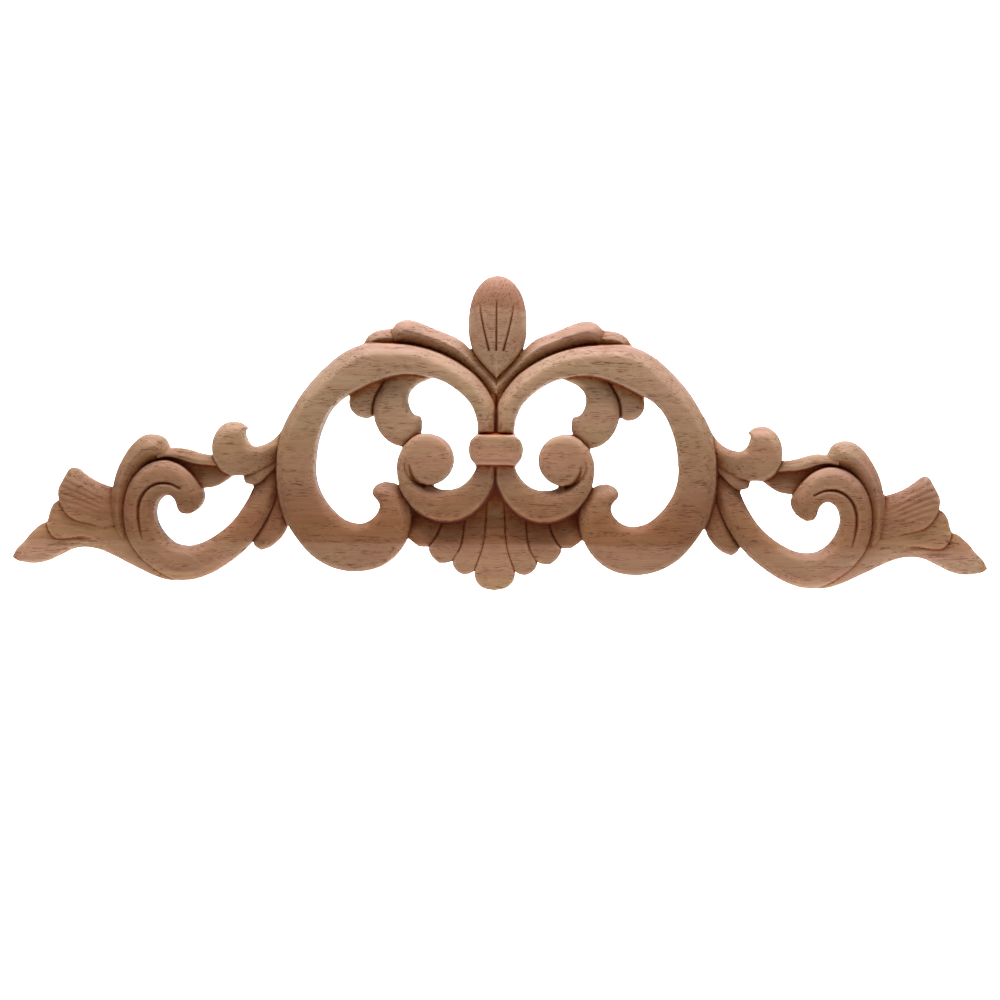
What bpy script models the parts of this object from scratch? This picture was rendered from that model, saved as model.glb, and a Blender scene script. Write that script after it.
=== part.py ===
# Carved applique: a pierced rubberwood crest of scrolls and leaves, symmetrical about its centre line.
# Metres, +Z up. The flat glued back lies in the plane Y = 0 and the carved front faces -Y.
# The origin is on the back, behind the middle of the knot that binds the scrolls.

import bpy
import numpy as np
from mathutils import Vector
from mathutils.geometry import delaunay_2d_cdt

MM = 0.001

# Driving dimensions, in millimetres
HALF_LENGTH = 250.0       # knot to wing tip, along X
KNOT_FACE = 20.0          # thickest point of the carving
EYE_CENTRE = (34.9, -5.3)
EYE_RADIUS = 13.1

# Each element is a strip laid between two edges, given as ribs from its root to its tip:
#   (edge A out, edge A up, edge B out, edge B up, face height, bevel width A, bevel width B)
# "out" is the distance from the centre line and "up" the height above the knot's middle.
# The face height is measured from the back. Where A and B meet, the strip ends in a tip.

MAIN_SCROLL = [
    (-0.6, 4, 9.3, 4, 15.8, 4.0, 0.7),
    (-0.6, 13, 9.3, 13, 15.8, 4.0, 0.7),
    (0.8, 22, 11.8, 21, 16.2, 4.2, 0.7),
    (5, 30, 15.3, 25.8, 16.8, 4.5, 0.7),
    (11, 37.2, 20.5, 30.3, 17.0, 4.7, 0.7),
    (20, 43.8, 27.2, 34.4, 17.0, 4.8, 0.7),
    (30, 48.7, 34.8, 37, 17.0, 4.8, 0.7),
    (42, 52, 43.5, 38.2, 17.0, 4.8, 0.7),
    (55, 53.2, 53.5, 37.2, 17.0, 5.0, 0.7),
    (68, 53.2, 63, 34, 17.0, 6.0, 0.7),
    (79, 48.6, 72, 29.6, 16.8, 6.5, 0.7),
    (88.5, 40.7, 79.3, 25.3, 16.5, 6.5, 0.7),
    (96.8, 31.6, 85, 19.5, 16.3, 5.8, 0.7),
    (103.6, 21.3, 89, 11.5, 16.2, 5.0, 0.8),
    (108.6, 11, 91.4, 4, 16.0, 4.5, 1.2),
    (111.3, 0, 92.6, -4, 16.0, 4.0, 1.8),
    (111.8, -12, 92.9, -12, 16.0, 3.8, 2.0),
    (110.5, -25, 91.3, -19.8, 15.8, 3.5, 2.2),
    (107.2, -37, 87.8, -26.6, 15.5, 3.0, 2.6),
    (101, -47, 83.2, -32.2, 15.3, 2.6, 3.0),
    (92.5, -56, 77.8, -36.5, 15.0, 2.2, 3.3),
    (81.5, -61.7, 72.3, -38.3, 15.0, 2.0, 3.3),
    (70, -63.2, 67.3, -38.2, 15.0, 2.0, 3.2),
    (59, -60.7, 62.9, -36, 15.0, 2.0, 2.8),
    (50.5, -54.3, 60.2, -33, 15.0, 2.4, 2.4),
    (45.5, -46.5, 59.1, -30.2, 15.0, 3.2, 2.0),
    (43.4, -38, 59.4, -27.8, 15.0, 4.2, 2.0),
    (43.9, -31, 60.8, -25.9, 14.8, 4.6, 2.0),
    (46.2, -24.6, 62.5, -23.8, 14.4, 4.6, 2.2),
    (49.3, -19.4, 62.5, -20.8, 14.0, 4.4, 2.6),
    (52.7, -17.4, 60.5, -18.3, 13.6, 4.0, 3.0),
    (56.8, -16.9, 56.8, -16.9, 13.4, 3.6, 3.0),
]

CREST_LEAF = [
    (-2, 34.3, -2, 20.5, 13.6, 5.0, 6.0),
    (5, 41.5, 3, 26.8, 13.6, 5.0, 6.0),
    (10, 46.8, 8, 34, 13.7, 5.0, 6.2),
    (14.6, 52, 14.2, 39.7, 13.9, 5.0, 6.4),
    (19.5, 56.2, 21, 44.6, 14.0, 5.2, 6.5),
    (26, 59.2, 28.7, 48.3, 14.0, 5.4, 6.5),
    (33, 61.9, 35.8, 51, 14.0, 5.4, 6.5),
    (40, 64.8, 42.2, 52.4, 14.0, 5.4, 7.0),
    (46, 66, 47.8, 53.2, 14.0, 5.2, 7.0),
    (50.8, 64.7, 51.6, 53.6, 14.0, 5.0, 6.5),
    (53.6, 61.4, 53.8, 55, 13.8, 5.0, 5.0),
    (54.5, 58, 54.5, 58, 13.6, 5.0, 5.0),
]

CREST_UNDERLEAF = [
    (44, 58, 44, 52, 8.2, 4.0, 3.0),
    (49.5, 60.2, 50, 52.8, 9.8, 4.0, 3.0),
    (54.4, 61.3, 55, 53, 11.2, 4.0, 3.0),
    (58.8, 61, 59.6, 53, 11.6, 4.0, 3.0),
    (62.6, 60, 64, 52.3, 11.5, 4.0, 2.8),
    (66.4, 57.4, 67.2, 51.6, 11.3, 4.0, 2.5),
    (68.6, 53.6, 68.6, 53.6, 11.0, 4.0, 2.5),
]

BUD = [
    (0, 89, 0, 89, 18.0, 14.5, 14.5),
    (-5, 87.6, 5, 87.6, 18.0, 14.5, 14.5),
    (-9.3, 84, 9.3, 84, 18.0, 14.5, 14.5),
    (-12.4, 78.8, 12.4, 78.8, 18.0, 14.5, 14.5),
    (-14.2, 72, 14.2, 72, 18.0, 14.5, 14.5),
    (-14.8, 64, 14.8, 64, 18.0, 14.5, 14.5),
    (-14.2, 56, 14.2, 56, 17.8, 14.5, 14.5),
    (-12.2, 50, 12.2, 50, 17.4, 14.0, 14.0),
    (-8.7, 45, 8.7, 45, 17.0, 13.0, 13.0),
    (-4.4, 40.3, 4.4, 40.3, 16.5, 12.0, 12.0),
    (0, 36, 0, 36, 16.0, 12.0, 12.0),
]

KNOT = [
    (-4, 7.4, -4, -8.2, KNOT_FACE, 2.5, 4.0),
    (3, 7.4, 3, -8.2, KNOT_FACE, 2.5, 4.0),
    (7.3, 7.4, 7.3, -8.2, KNOT_FACE - 0.2, 2.5, 4.0),
    (9.6, 7.2, 10, -7.8, KNOT_FACE - 0.5, 4.5, 5.5),
    (12.4, 4.8, 12.6, -4.8, KNOT_FACE - 1.0, 7.5, 7.5),
    (13.8, 0.2, 13.8, 0.2, KNOT_FACE - 1.8, 8.0, 8.0),
]

INNER_LEAF = [
    (50, 44, 30, 42, 12.6, 2.4, 2.0),
    (55.2, 36, 34.6, 36.2, 12.6, 2.4, 2.0),
    (58.6, 31.8, 41.4, 32.8, 12.6, 2.4, 2.0),
    (61, 27.5, 44.8, 29, 12.6, 2.4, 2.0),
    (62.5, 22.5, 45.6, 24.7, 12.7, 2.4, 2.0),
    (62.8, 18, 44.5, 20.4, 12.9, 2.4, 2.0),
    (62, 13.6, 42, 17.5, 13.1, 2.4, 2.0),
    (60.5, 10, 39.3, 16.8, 13.2, 2.6, 2.0),
    (58.2, 6.5, 38.3, 12.8, 13.2, 2.8, 2.2),
    (55, 3.7, 39.2, 8, 13.1, 3.0, 2.6),
    (51.8, 1.9, 42.8, 3.4, 13.0, 3.0, 3.0),
    (47.6, 0.9, 47.6, 0.9, 12.8, 3.0, 3.0),
]

INNER_UNDERLEAF = [
    (66, 41, 52, 42, 11.4, 2.4, 2.4),
    (71, 34, 55.5, 36, 11.4, 2.4, 2.4),
    (74.6, 28, 59, 31.2, 11.4, 2.4, 2.4),
    (75.6, 24, 61.4, 27, 11.4, 2.4, 2.4),
    (74.9, 20.4, 62.5, 22.8, 11.4, 2.6, 2.4),
    (72.9, 17.6, 63, 19.6, 11.3, 2.8, 2.4),
    (69.8, 15.8, 63.6, 17, 11.2, 3.0, 2.4),
    (66.4, 15.3, 66.4, 15.3, 11.0, 3.0, 2.4),
]

VOLUTE = [
    (-0.6, -4, 9.6, -4, 15.5, 2.2, 2.0),
    (-0.6, -10, 9.9, -9.6, 15.5, 2.2, 2.0),
    (0.8, -15.6, 11.8, -13.4, 15.5, 2.2, 2.2),
    (3.4, -21.6, 14.6, -16.7, 15.4, 2.2, 2.5),
    (7.2, -27.6, 18, -19.1, 15.3, 2.2, 3.0),
    (12.6, -32.5, 21.8, -20.4, 15.2, 2.2, 3.5),
    (19.4, -35.6, 25.2, -20.7, 15.1, 2.2, 4.5),
    (26.6, -36.2, 28.6, -20.4, 15.0, 2.2, 5.5),
    (33.6, -34.7, 31.8, -19.2, 15.0, 2.2, 6.5),
    (40, -31, 35.4, -17.5, 14.9, 2.2, 6.5),
    (45.2, -25.8, 38.8, -15, 14.8, 2.2, 6.0),
    (48.7, -19.6, 42.2, -11.9, 15.0, 2.2, 5.0),
    (50.2, -12.6, 43, -8, 15.5, 2.4, 3.6),
    (50.1, -6.2, 38, -5.4, 15.9, 2.6, 3.0),
    (48.2, -1, 33, -4.6, 15.9, 3.0, 2.6),
    (44.4, 3.6, 30, -1.4, 15.9, 3.2, 2.4),
    (39.8, 6.8, 30, 3, 15.9, 3.0, 2.4),
    (34, 7.5, 34, 7.5, 15.8, 2.6, 2.4),
]

SHELL_CENTRE = [
    (-4.2, -10, 4.2, -10, 6.0, 1.5, 1.5),
    (-4.2, -24, 4.2, -24, 6.2, 1.5, 1.5),
    (-4.5, -35, 4.5, -35, 7.2, 1.5, 1.5),
    (-5.2, -44, 5.2, -44, 9.1, 1.5, 1.5),
    (-6.4, -51, 6.4, -51, 10.7, 1.5, 1.5),
    (-8.2, -57, 8.2, -57, 11.7, 1.5, 1.5),
    (-10, -62, 10, -62, 12.1, 1.5, 1.5),
    (-9.7, -66.4, 9.7, -66.4, 12.0, 1.5, 1.5),
    (-6.4, -70.4, 6.4, -70.4, 11.6, 2.4, 2.4),
    (0, -72, 0, -72, 11.4, 2.4, 2.4),
]

SHELL_RAY_INNER = [
    (4.1, -24, 12.5, -24, 6.0, 1.5, 1.5),
    (4.6, -35, 15.2, -35, 6.6, 1.5, 1.5),
    (5.3, -44, 16.1, -43.5, 8.7, 1.5, 1.5),
    (6.5, -51, 17.4, -50.4, 10.5, 1.5, 1.5),
    (8.4, -57, 20.8, -56.4, 11.3, 1.5, 1.5),
    (10.4, -61.6, 21.2, -59.4, 11.6, 1.5, 1.5),
    (12.8, -63.6, 18.9, -62.6, 11.4, 2.4, 2.4),
    (15.8, -64.1, 15.8, -64.1, 11.2, 2.4, 2.4),
]

SHELL_RAY_MIDDLE = [
    (12.4, -24, 22, -24, 5.8, 1.5, 1.5),
    (15.3, -35, 26.4, -34.5, 6.2, 1.5, 1.5),
    (16.3, -43.5, 28.6, -42, 8.3, 1.5, 1.5),
    (18.2, -51.6, 31.6, -47.6, 10.2, 1.5, 1.5),
    (21.6, -56.8, 33.8, -51.4, 10.8, 1.5, 1.5),
    (24.4, -58.2, 32, -55.2, 10.9, 2.4, 2.4),
    (28.4, -58.4, 28.4, -58.4, 10.7, 2.4, 2.4),
]

SHELL_RAY_OUTER = [
    (22, -24, 42, -24, 5.6, 1.5, 1.5),
    (26.6, -34.5, 46, -31, 6.0, 1.5, 1.5),
    (29, -42, 47.5, -38, 7.9, 1.5, 1.5),
    (32.4, -48, 46.5, -43.6, 9.6, 1.5, 1.5),
    (35, -50.1, 43.4, -46.7, 10.0, 2.4, 2.4),
    (39.2, -49.9, 39.2, -49.9, 10.0, 2.4, 2.4),
]

HOOK_LEAF = [
    (105.5, 17, 106, -5, 9.0, 2.6, 2.4),
    (109.6, 9.9, 111.4, -7.4, 9.6, 2.8, 2.4),
    (113.5, 5, 117, -10.2, 11.2, 3.0, 2.6),
    (118, 1.9, 122.8, -13, 12.6, 3.0, 2.6),
    (122.2, 0.5, 128.6, -14.4, 13.4, 3.0, 2.4),
    (125.6, 0.9, 134.2, -14.4, 14.0, 2.6, 1.8),
    (127.8, 2.9, 139.5, -12.2, 14.2, 2.0, 1.6),
    (129, 5.5, 143.5, -7.4, 14.4, 1.6, 1.5),
    (129.5, 7.3, 145.5, -1.6, 14.6, 1.5, 2.0),
    (129.5, 8.5, 145.1, 4, 14.6, 1.4, 3.4),
    (128.9, 9.2, 142.9, 8.8, 14.6, 1.4, 4.6),
    (128.5, 10, 139, 12.3, 14.4, 1.6, 4.8),
    (129.8, 11.6, 134.6, 13.3, 14.0, 2.4, 4.8),
    (131.8, 12.7, 131.8, 12.7, 13.8, 3.0, 4.8),
]

HOOK_UNDERLEAF = [
    (109, -2, 108, -7, 8.8, 2.0, 1.2),
    (113.5, -6, 112, -8.8, 9.4, 2.0, 1.2),
    (119, -9, 115.8, -12.8, 10.4, 2.2, 1.4),
    (124.5, -12, 119.6, -16.5, 11.2, 2.4, 1.6),
    (128.8, -14.3, 123.4, -18.8, 11.5, 2.2, 1.8),
    (129.3, -16.6, 126.2, -19.1, 11.4, 1.8, 1.8),
    (128.4, -18.4, 128.4, -18.4, 11.0, 1.6, 1.8),
]

WING_SCROLL = [
    (111, -6, 121, -8, 7.0, 2.4, 2.0),
    (111.6, -17, 123.9, -18.2, 8.6, 2.6, 2.4),
    (113.4, -27, 126.8, -25.6, 10.8, 3.0, 2.6),
    (117, -35.6, 130.6, -32.4, 12.4, 3.2, 2.4),
    (122.6, -45, 135.7, -39, 13.0, 3.4, 2.6),
    (129.4, -53, 141.8, -44.2, 13.4, 3.6, 2.8),
    (138, -60, 148.2, -48.1, 13.5, 4.0, 3.2),
    (148, -65.9, 154.2, -50.3, 13.5, 4.2, 3.8),
    (158, -68.7, 159.6, -50.8, 13.5, 4.4, 4.0),
    (167, -67.2, 164.4, -49.8, 13.5, 4.0, 4.0),
    (175, -62.6, 168.6, -47, 13.6, 3.0, 4.0),
    (182.2, -56.4, 171.8, -43.3, 13.7, 2.6, 3.8),
    (187.8, -48.6, 174, -39.4, 13.8, 2.6, 3.4),
    (190.4, -39.6, 175.1, -35.6, 13.9, 2.8, 3.0),
    (190.7, -30.6, 175.1, -32, 14.0, 3.0, 2.4),
    (188.8, -21.6, 174.1, -28.7, 14.0, 3.2, 2.0),
    (184, -14, 172.1, -26.2, 14.0, 3.2, 1.8),
    (177, -9, 169.8, -25.1, 14.0, 3.2, 1.8),
    (169.6, -7.6, 167.6, -25.2, 13.9, 3.2, 1.8),
    (162.6, -9.7, 165.7, -26.3, 13.8, 3.2, 1.8),
    (157, -14.2, 164.4, -28, 13.6, 3.4, 1.8),
    (152.8, -19.4, 163.8, -29.8, 13.3, 4.4, 1.8),
    (150.3, -24.4, 163.3, -31.6, 13.0, 5.0, 1.8),
    (151.2, -28.8, 162.4, -33.3, 12.8, 4.6, 2.0),
    (154.5, -32.6, 160.9, -34.4, 12.6, 3.6, 2.2),
    (158.2, -34.8, 158.2, -34.8, 12.4, 2.6, 2.4),
]

CURL_LEAF = [
    (183, -60, 180, -58.6, 9.6, 1.2, 1.6),
    (189.6, -52.6, 185.5, -52.5, 10.6, 1.5, 2.8),
    (194.4, -44.5, 188.5, -45.5, 11.6, 2.0, 3.6),
    (196.9, -36, 189.8, -37, 12.4, 2.7, 4.2),
    (197.5, -27.5, 189.8, -29.5, 12.8, 3.2, 4.6),
    (196.5, -18.8, 188.2, -22.6, 13.2, 3.6, 5.4),
    (194.3, -11.2, 184.8, -17.2, 13.4, 4.0, 7.0),
    (191, -4.6, 180.8, -13, 13.6, 4.7, 8.3),
    (186.4, 1.7, 177, -10.4, 13.8, 5.2, 9.5),
    (181.2, 5.6, 173.4, -9, 13.8, 6.0, 10.0),
    (175.8, 6.3, 170.8, -7.4, 13.6, 6.4, 8.0),
    (171.4, 4.5, 168.8, -4.6, 13.2, 5.6, 4.5),
    (169, 0.4, 169, 0.4, 12.8, 5.0, 4.0),
]

BRIDGE_RIB = [
    (174, 0, 174, -6, 11.2, 3.6, 1.2),
    (169, -0.9, 168.6, -5, 11.4, 3.6, 1.2),
    (163.5, -0.5, 163, -6, 11.5, 3.8, 1.4),
    (158, -1.4, 157.4, -7.8, 11.5, 4.0, 1.6),
    (152.4, -3.2, 152, -8.8, 11.4, 3.8, 1.6),
    (147, -4.1, 146.6, -9.2, 11.2, 3.4, 1.6),
    (141, -4.6, 141, -10, 10.8, 3.2, 1.6),
    (135, -5, 135, -10, 10.4, 3.0, 1.6),
]

BRIDGE_LEAF = [
    (164, -5, 158, -20, 7.4, 8.0, 1.4),
    (158.5, -6.5, 153.6, -20.6, 7.6, 9.0, 1.4),
    (153.5, -7.5, 149.6, -21.1, 7.8, 9.0, 1.4),
    (148.5, -8, 145, -20.4, 7.8, 8.5, 1.4),
    (144, -8.5, 141, -18.4, 7.8, 7.5, 1.4),
    (139.5, -9, 137.4, -15.8, 8.0, 5.5, 1.4),
    (134.5, -9.5, 134, -13.6, 8.2, 3.5, 1.4),
]

TAIL_TIP = [
    (160, -68, 166, -56, 10.6, 4.2, 1.0),
    (167, -68.9, 172, -56, 10.6, 4.2, 1.0),
    (175, -66.8, 179, -52, 10.6, 4.2, 1.0),
    (183, -63.1, 187, -46, 10.6, 4.0, 1.0),
    (190, -59.8, 194, -41, 9.9, 3.8, 1.0),
    (197, -56.3, 201, -38, 9.8, 3.6, 1.0),
    (204, -53.5, 208, -37.5, 9.6, 3.4, 1.0),
    (211, -52.4, 215, -38, 9.3, 3.2, 1.2),
    (218, -53.3, 222, -38.4, 9.0, 3.0, 2.0),
    (224.6, -56.3, 229, -39.2, 8.7, 2.8, 3.4),
    (231, -59.5, 234.4, -40.4, 8.4, 2.6, 3.8),
    (237, -61, 239.4, -44.4, 7.9, 2.4, 3.6),
    (242.8, -60.7, 244, -49.8, 7.3, 2.2, 3.0),
    (247.4, -59.7, 248.2, -54.2, 6.7, 2.0, 2.4),
    (HALF_LENGTH, -57.9, HALF_LENGTH, -57.9, 6.1, 1.8, 2.0),
]

TAIL_MIDDLE = [
    (190, -53, 190, -34, 8.9, 1.3, 2.0),
    (198, -50, 198, -33, 9.4, 1.3, 2.0),
    (206, -48, 206, -32, 10.2, 1.3, 2.0),
    (213, -46.8, 213, -30.6, 10.9, 1.3, 2.0),
    (220.8, -47.8, 219.6, -29.2, 11.1, 1.3, 2.2),
    (226.6, -47.6, 225.2, -28.3, 11.1, 1.3, 2.6),
    (229.9, -44, 228.4, -30.9, 11.1, 1.3, 3.0),
    (230.9, -38.5, 230.9, -38.5, 10.9, 1.3, 3.0),
]

TAIL_TOP = [
    (188, -44, 188, -20, 9.4, 1.2, 5.0),
    (195.5, -43.8, 197, -21.3, 9.8, 1.2, 5.0),
    (202.6, -42, 204, -19.4, 10.9, 1.2, 5.2),
    (209, -40, 209.6, -16.6, 12.0, 1.2, 5.6),
    (214.8, -38.6, 213.6, -13.8, 12.8, 1.2, 6.0),
    (219.4, -36, 216.6, -11.5, 13.3, 1.2, 6.0),
    (222.9, -31.6, 219.5, -11.9, 13.4, 1.6, 5.6),
    (225, -26, 222.3, -16.6, 13.2, 1.6, 4.0),
    (224.9, -21.6, 224.9, -21.6, 13.0, 1.6, 3.0),
]

WING_GROUND = [
    (155, -4, 153, -17, 7.2, 1.0, 1.0),
    (163, -4, 162, -14, 7.2, 1.0, 1.0),
    (171, -3, 169, -12, 7.2, 1.0, 1.0),
    (179, -2, 176, -13, 7.2, 1.0, 1.0),
    (186, -7, 181, -17, 7.2, 1.0, 1.0),
    (191.5, -15, 185, -22, 7.2, 1.0, 1.0),
    (194, -25, 187, -28, 7.2, 1.0, 1.0),
    (194.5, -35, 187, -35, 7.2, 1.0, 1.0),
    (193, -44, 186, -44, 7.6, 1.0, 1.0),
    (190, -52, 184, -50, 8.0, 1.0, 1.0),
]

CENTRE_GROUND = [
    (-5, 42, 5, 42, 9.5, 1.0, 1.0),
    (-3, 30, 3, 30, 10.5, 1.0, 1.0),
    (-3, 10, 3, 10, 11.0, 1.0, 1.0),
    (-5, -10, 5, -10, 7.0, 1.0, 1.0),
    (-6, -20, 6, -20, 6.5, 1.0, 1.0),
]

STEM_LEAF = [
    (112.4, -14, 109.5, -14, 7.6, 3.5, 3.5),
    (113, -24, 109.2, -24, 8.4, 3.5, 3.5),
    (115.2, -31.4, 107.6, -31, 9.6, 3.8, 3.8),
    (118.2, -37.8, 106.6, -37, 10.4, 4.4, 4.4),
    (121.6, -43.4, 108.4, -43, 10.8, 4.8, 4.8),
    (124.2, -47.6, 112.2, -48.2, 10.8, 4.8, 4.8),
    (123.7, -50.6, 116.4, -51.4, 10.6, 4.4, 4.4),
    (120.5, -52.9, 120.5, -52.9, 10.4, 4.0, 4.0),
]

# How each strip is cut: ribs, fall per millimetre of bevel at A and at B, whether the bevels are
# rounded like a dome
STRIPS = [
    (WING_GROUND, 0.5, 0.5, False),
    (CENTRE_GROUND, 0.5, 0.5, False),
    (SHELL_RAY_OUTER, 0.55, 0.55, True),
    (SHELL_RAY_MIDDLE, 0.55, 0.55, True),
    (SHELL_RAY_INNER, 0.55, 0.55, True),
    (SHELL_CENTRE, 0.55, 0.55, True),
    (BRIDGE_LEAF, 0.16, 0.16, False),
    (BRIDGE_RIB, 0.6, 0.6, False),
    (STEM_LEAF, 0.8, 0.8, True),
    (TAIL_TIP, 0.6, 0.6, False),
    (TAIL_MIDDLE, 0.6, 0.6, False),
    (TAIL_TOP, 0.6, 0.6, False),
    (HOOK_UNDERLEAF, 0.7, 0.7, False),
    (WING_SCROLL, 0.8, 0.8, False),
    (CURL_LEAF, 0.75, 0.8, False),
    (HOOK_LEAF, 0.8, 0.8, False),
    (CREST_UNDERLEAF, 0.75, 0.75, False),
    (CREST_LEAF, 0.85, 0.85, False),
    (INNER_UNDERLEAF, 0.7, 0.7, False),
    (INNER_LEAF, 0.8, 0.8, False),
    (VOLUTE, 0.8, 0.5, False),
    (MAIN_SCROLL, 0.9, 0.9, False),
    (KNOT, 0.42, 0.42, True),
    (BUD, 0.62, 0.62, True),
]

EYE_FACE = 15.9
EYE_BEVEL = 5.5
EYE_FALL = 0.55
WALL_SLOPE = 4.0          # rise per run of the steps between overlapping leaves
RIB_STEP = 2.0            # spacing of the points along a strip's edges
WEIGHT_FLOOR = 4.0        # square millimetres; evens out heights taken from the nearest edges
FAR = 1000.0              # distance of a strip that is out of reach
TINY = 1e-6               # shorter pieces of an edge are dropped
SLIT = 1.8                # how close outlines run before the slit between them is filled
REACH = 3.0               # how far outside its outline a strip is still worked out

# V-cuts along a path: points (out, up), depth at each, half width at each
CUTS = [
    [(0, 75.5, 0.2, 0.4), (0, 70, 0.8, 0.55), (0, 60, 1.2, 0.75), (0, 50.4, 1.5, 0.85)],
    [(8.7, 74, 0.2, 0.4), (8, 69, 0.8, 0.55), (5.9, 59, 1.2, 0.75), (3.7, 50.4, 1.5, 0.85)],
    [(0, 28, 0.8, 1.0), (0, 22, 2.2, 1.6), (0, 9, 2.4, 1.4)],
    [(0, -9, 1.8, 1.4), (0, -14, 2.0, 1.4), (0, -19, 0.6, 1.0)],
    [
        (43.8, -8.4, 0.1, 0.6),
        (43.4, -11, 1.2, 1.2),
        (42.4, -13.8, 2.2, 1.8),
        (40, -16.8, 2.4, 2.0),
        (36.5, -18.6, 2.0, 1.8),
    ],
    [
        (57.4, 34.8, 1.4, 1.2),
        (59.4, 31, 1.6, 1.0),
        (61.8, 27, 1.6, 1.0),
        (63.2, 22, 1.4, 1.0),
        (63.3, 18, 1.0, 1.0),
    ],
    [
        (161.8, -21.6, 1.0, 0.9),
        (166.5, -19.4, 1.6, 1.1),
        (172.5, -19.1, 1.9, 1.2),
        (177.3, -21.1, 1.9, 1.2),
        (181, -25.3, 1.9, 1.2),
        (182.8, -30, 1.9, 1.2),
        (183.1, -36.1, 1.7, 1.2),
        (182.3, -42.1, 1.2, 1.1),
        (180.8, -48.1, 0.2, 0.8),
    ],
]

LOWEST = -74.0            # bottom and top of the surface grid
HIGHEST = 92.0
GRID = 0.9                # spacing of the surface grid before it is thinned
HALF_FACES = 4900         # faces kept on one half
SNAP = 0.12               # grid corners nearer the outline than this share of a cell count as inside
EDGE_FLOOR = 1.5          # least thickness anywhere
CREASE_ANGLE = 28.0       # sharper folds than this are shaded as edges

WOOD_COLOUR = (0.42, 0.22, 0.13, 1)
WOOD_ROUGHNESS = 0.7


def along(rows, step):
    """Smooth curve through rows of numbers, resampled about every step."""
    rows = np.array(rows, dtype=float)
    moves = np.diff(rows, axis=0)
    gaps = np.hypot(moves[:, 0], moves[:, 1])
    if rows.shape[1] > 4:
        gaps = np.maximum(gaps, np.hypot(moves[:, 2], moves[:, 3]))
    rates = moves / gaps[:, None]
    both = (gaps[:-1] + gaps[1:])[:, None]
    inner = (rates[:-1] * gaps[1:, None] + rates[1:] * gaps[:-1, None]) / both
    slopes = np.vstack([rates[:1], inner, rates[-1:]])
    points = []
    for index, gap in enumerate(gaps):
        count = max(1, int(np.ceil(gap / step)))
        for t in np.arange(count) / count:
            a = (1 + 2 * t) * (1 - t) ** 2
            b = t * (1 - t) ** 2 * gap
            c = t * t * (3 - 2 * t)
            d = t * t * (t - 1) * gap
            start = a * rows[index] + b * slopes[index]
            points.append(start + c * rows[index + 1] + d * slopes[index + 1])
    points.append(rows[-1])
    return np.array(points)


def spans(points, line):
    """Distance from every point to every piece of a line, and how far along that piece."""
    start = line[:-1, :2]
    step = line[1:, :2] - start
    offset = points[:, None, :] - start[None, :, :]
    share = (offset * step[None]).sum(axis=2) / (step ** 2).sum(axis=1)[None]
    share = np.clip(share, 0, 1)
    gap = offset - share[:, :, None] * step[None]
    return np.hypot(gap[:, :, 0], gap[:, :, 1]), share


def edge(points, line, values):
    """Distance to a line, with the values carried by the line blended from its nearest parts."""
    distance, share = spans(points, line)
    weight = 1 / (distance ** 2 + WEIGHT_FLOOR) ** 2
    here = values[:-1][None] + share[:, :, None] * np.diff(values, axis=0)[None]
    blend = (here * weight[:, :, None]).sum(axis=1) / weight.sum(axis=1)[:, None]
    return distance.min(axis=1), blend, weight.sum(axis=1)


def enclosed(points, start, end):
    """Whether each point lies inside the outline made by the straight pieces start to end."""
    above = (start[None, :, 1] > points[:, None, 1]) != (end[None, :, 1] > points[:, None, 1])
    rise = end[:, 1] - start[:, 1]
    rise = np.where(rise == 0, 1, rise)
    ratio = (points[:, None, 1] - start[None, :, 1]) / rise[None]
    cross = start[None, :, 0] + ratio * (end - start)[None, :, 0]
    hits = above & (points[:, None, 0] < cross)
    return hits.sum(axis=1) % 2 == 1


def fall(distance, width, rate, rounded):
    """How far a strip's face has dropped at a distance inside one of its edges."""
    share = np.clip(1 - distance / width, 0, 1)
    if rounded:
        share = 1 - np.sqrt(1 - share ** 2)
    return rate * width * share + WALL_SLOPE * np.maximum(-distance, 0)


def strip(points, ribs, rate_a, rate_b, rounded):
    """Height and signed distance inside the outline of one strip."""
    rows = along(ribs, RIB_STEP)
    line_a = rows[:, 0:2]
    line_b = rows[:, 2:4]
    keep_a = np.append(True, np.hypot(*np.diff(line_a, axis=0).T) > TINY)
    keep_b = np.append(True, np.hypot(*np.diff(line_b, axis=0).T) > TINY)
    far_a, values_a, weight_a = edge(points, line_a[keep_a], rows[keep_a][:, [4, 5]])
    far_b, values_b, weight_b = edge(points, line_b[keep_b], rows[keep_b][:, [4, 6]])
    outline = np.vstack([line_a[keep_a], line_b[keep_b][::-1]])
    inside = enclosed(points, outline, np.roll(outline, -1, axis=0))
    root = np.vstack([line_a[:1], line_b[:1]])
    near = np.minimum(far_a, far_b)
    if np.hypot(*(root[1] - root[0])) > TINY:
        far_root = spans(points, root)[0][:, 0]
        near = np.minimum(near, far_root)
    signed = np.where(inside, near, -near)
    inner_a = np.where(inside | (far_b < far_a), far_a, -near)
    inner_b = np.where(inside | (far_a <= far_b), far_b, -near)
    share = weight_a / (weight_a + weight_b)
    face = share * values_a[:, 0] + (1 - share) * values_b[:, 0]
    drop_a = fall(inner_a, values_a[:, 1], rate_a, rounded)
    drop_b = fall(inner_b, values_b[:, 1], rate_b, rounded)
    return face - np.maximum(drop_a, drop_b), signed


def eye(points):
    """Height and signed distance of the round boss that ends the small scroll."""
    radius = np.hypot(points[:, 0] - EYE_CENTRE[0], points[:, 1] - EYE_CENTRE[1])
    signed = EYE_RADIUS - radius
    return EYE_FACE - fall(signed, EYE_BEVEL, EYE_FALL, True), signed


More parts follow.
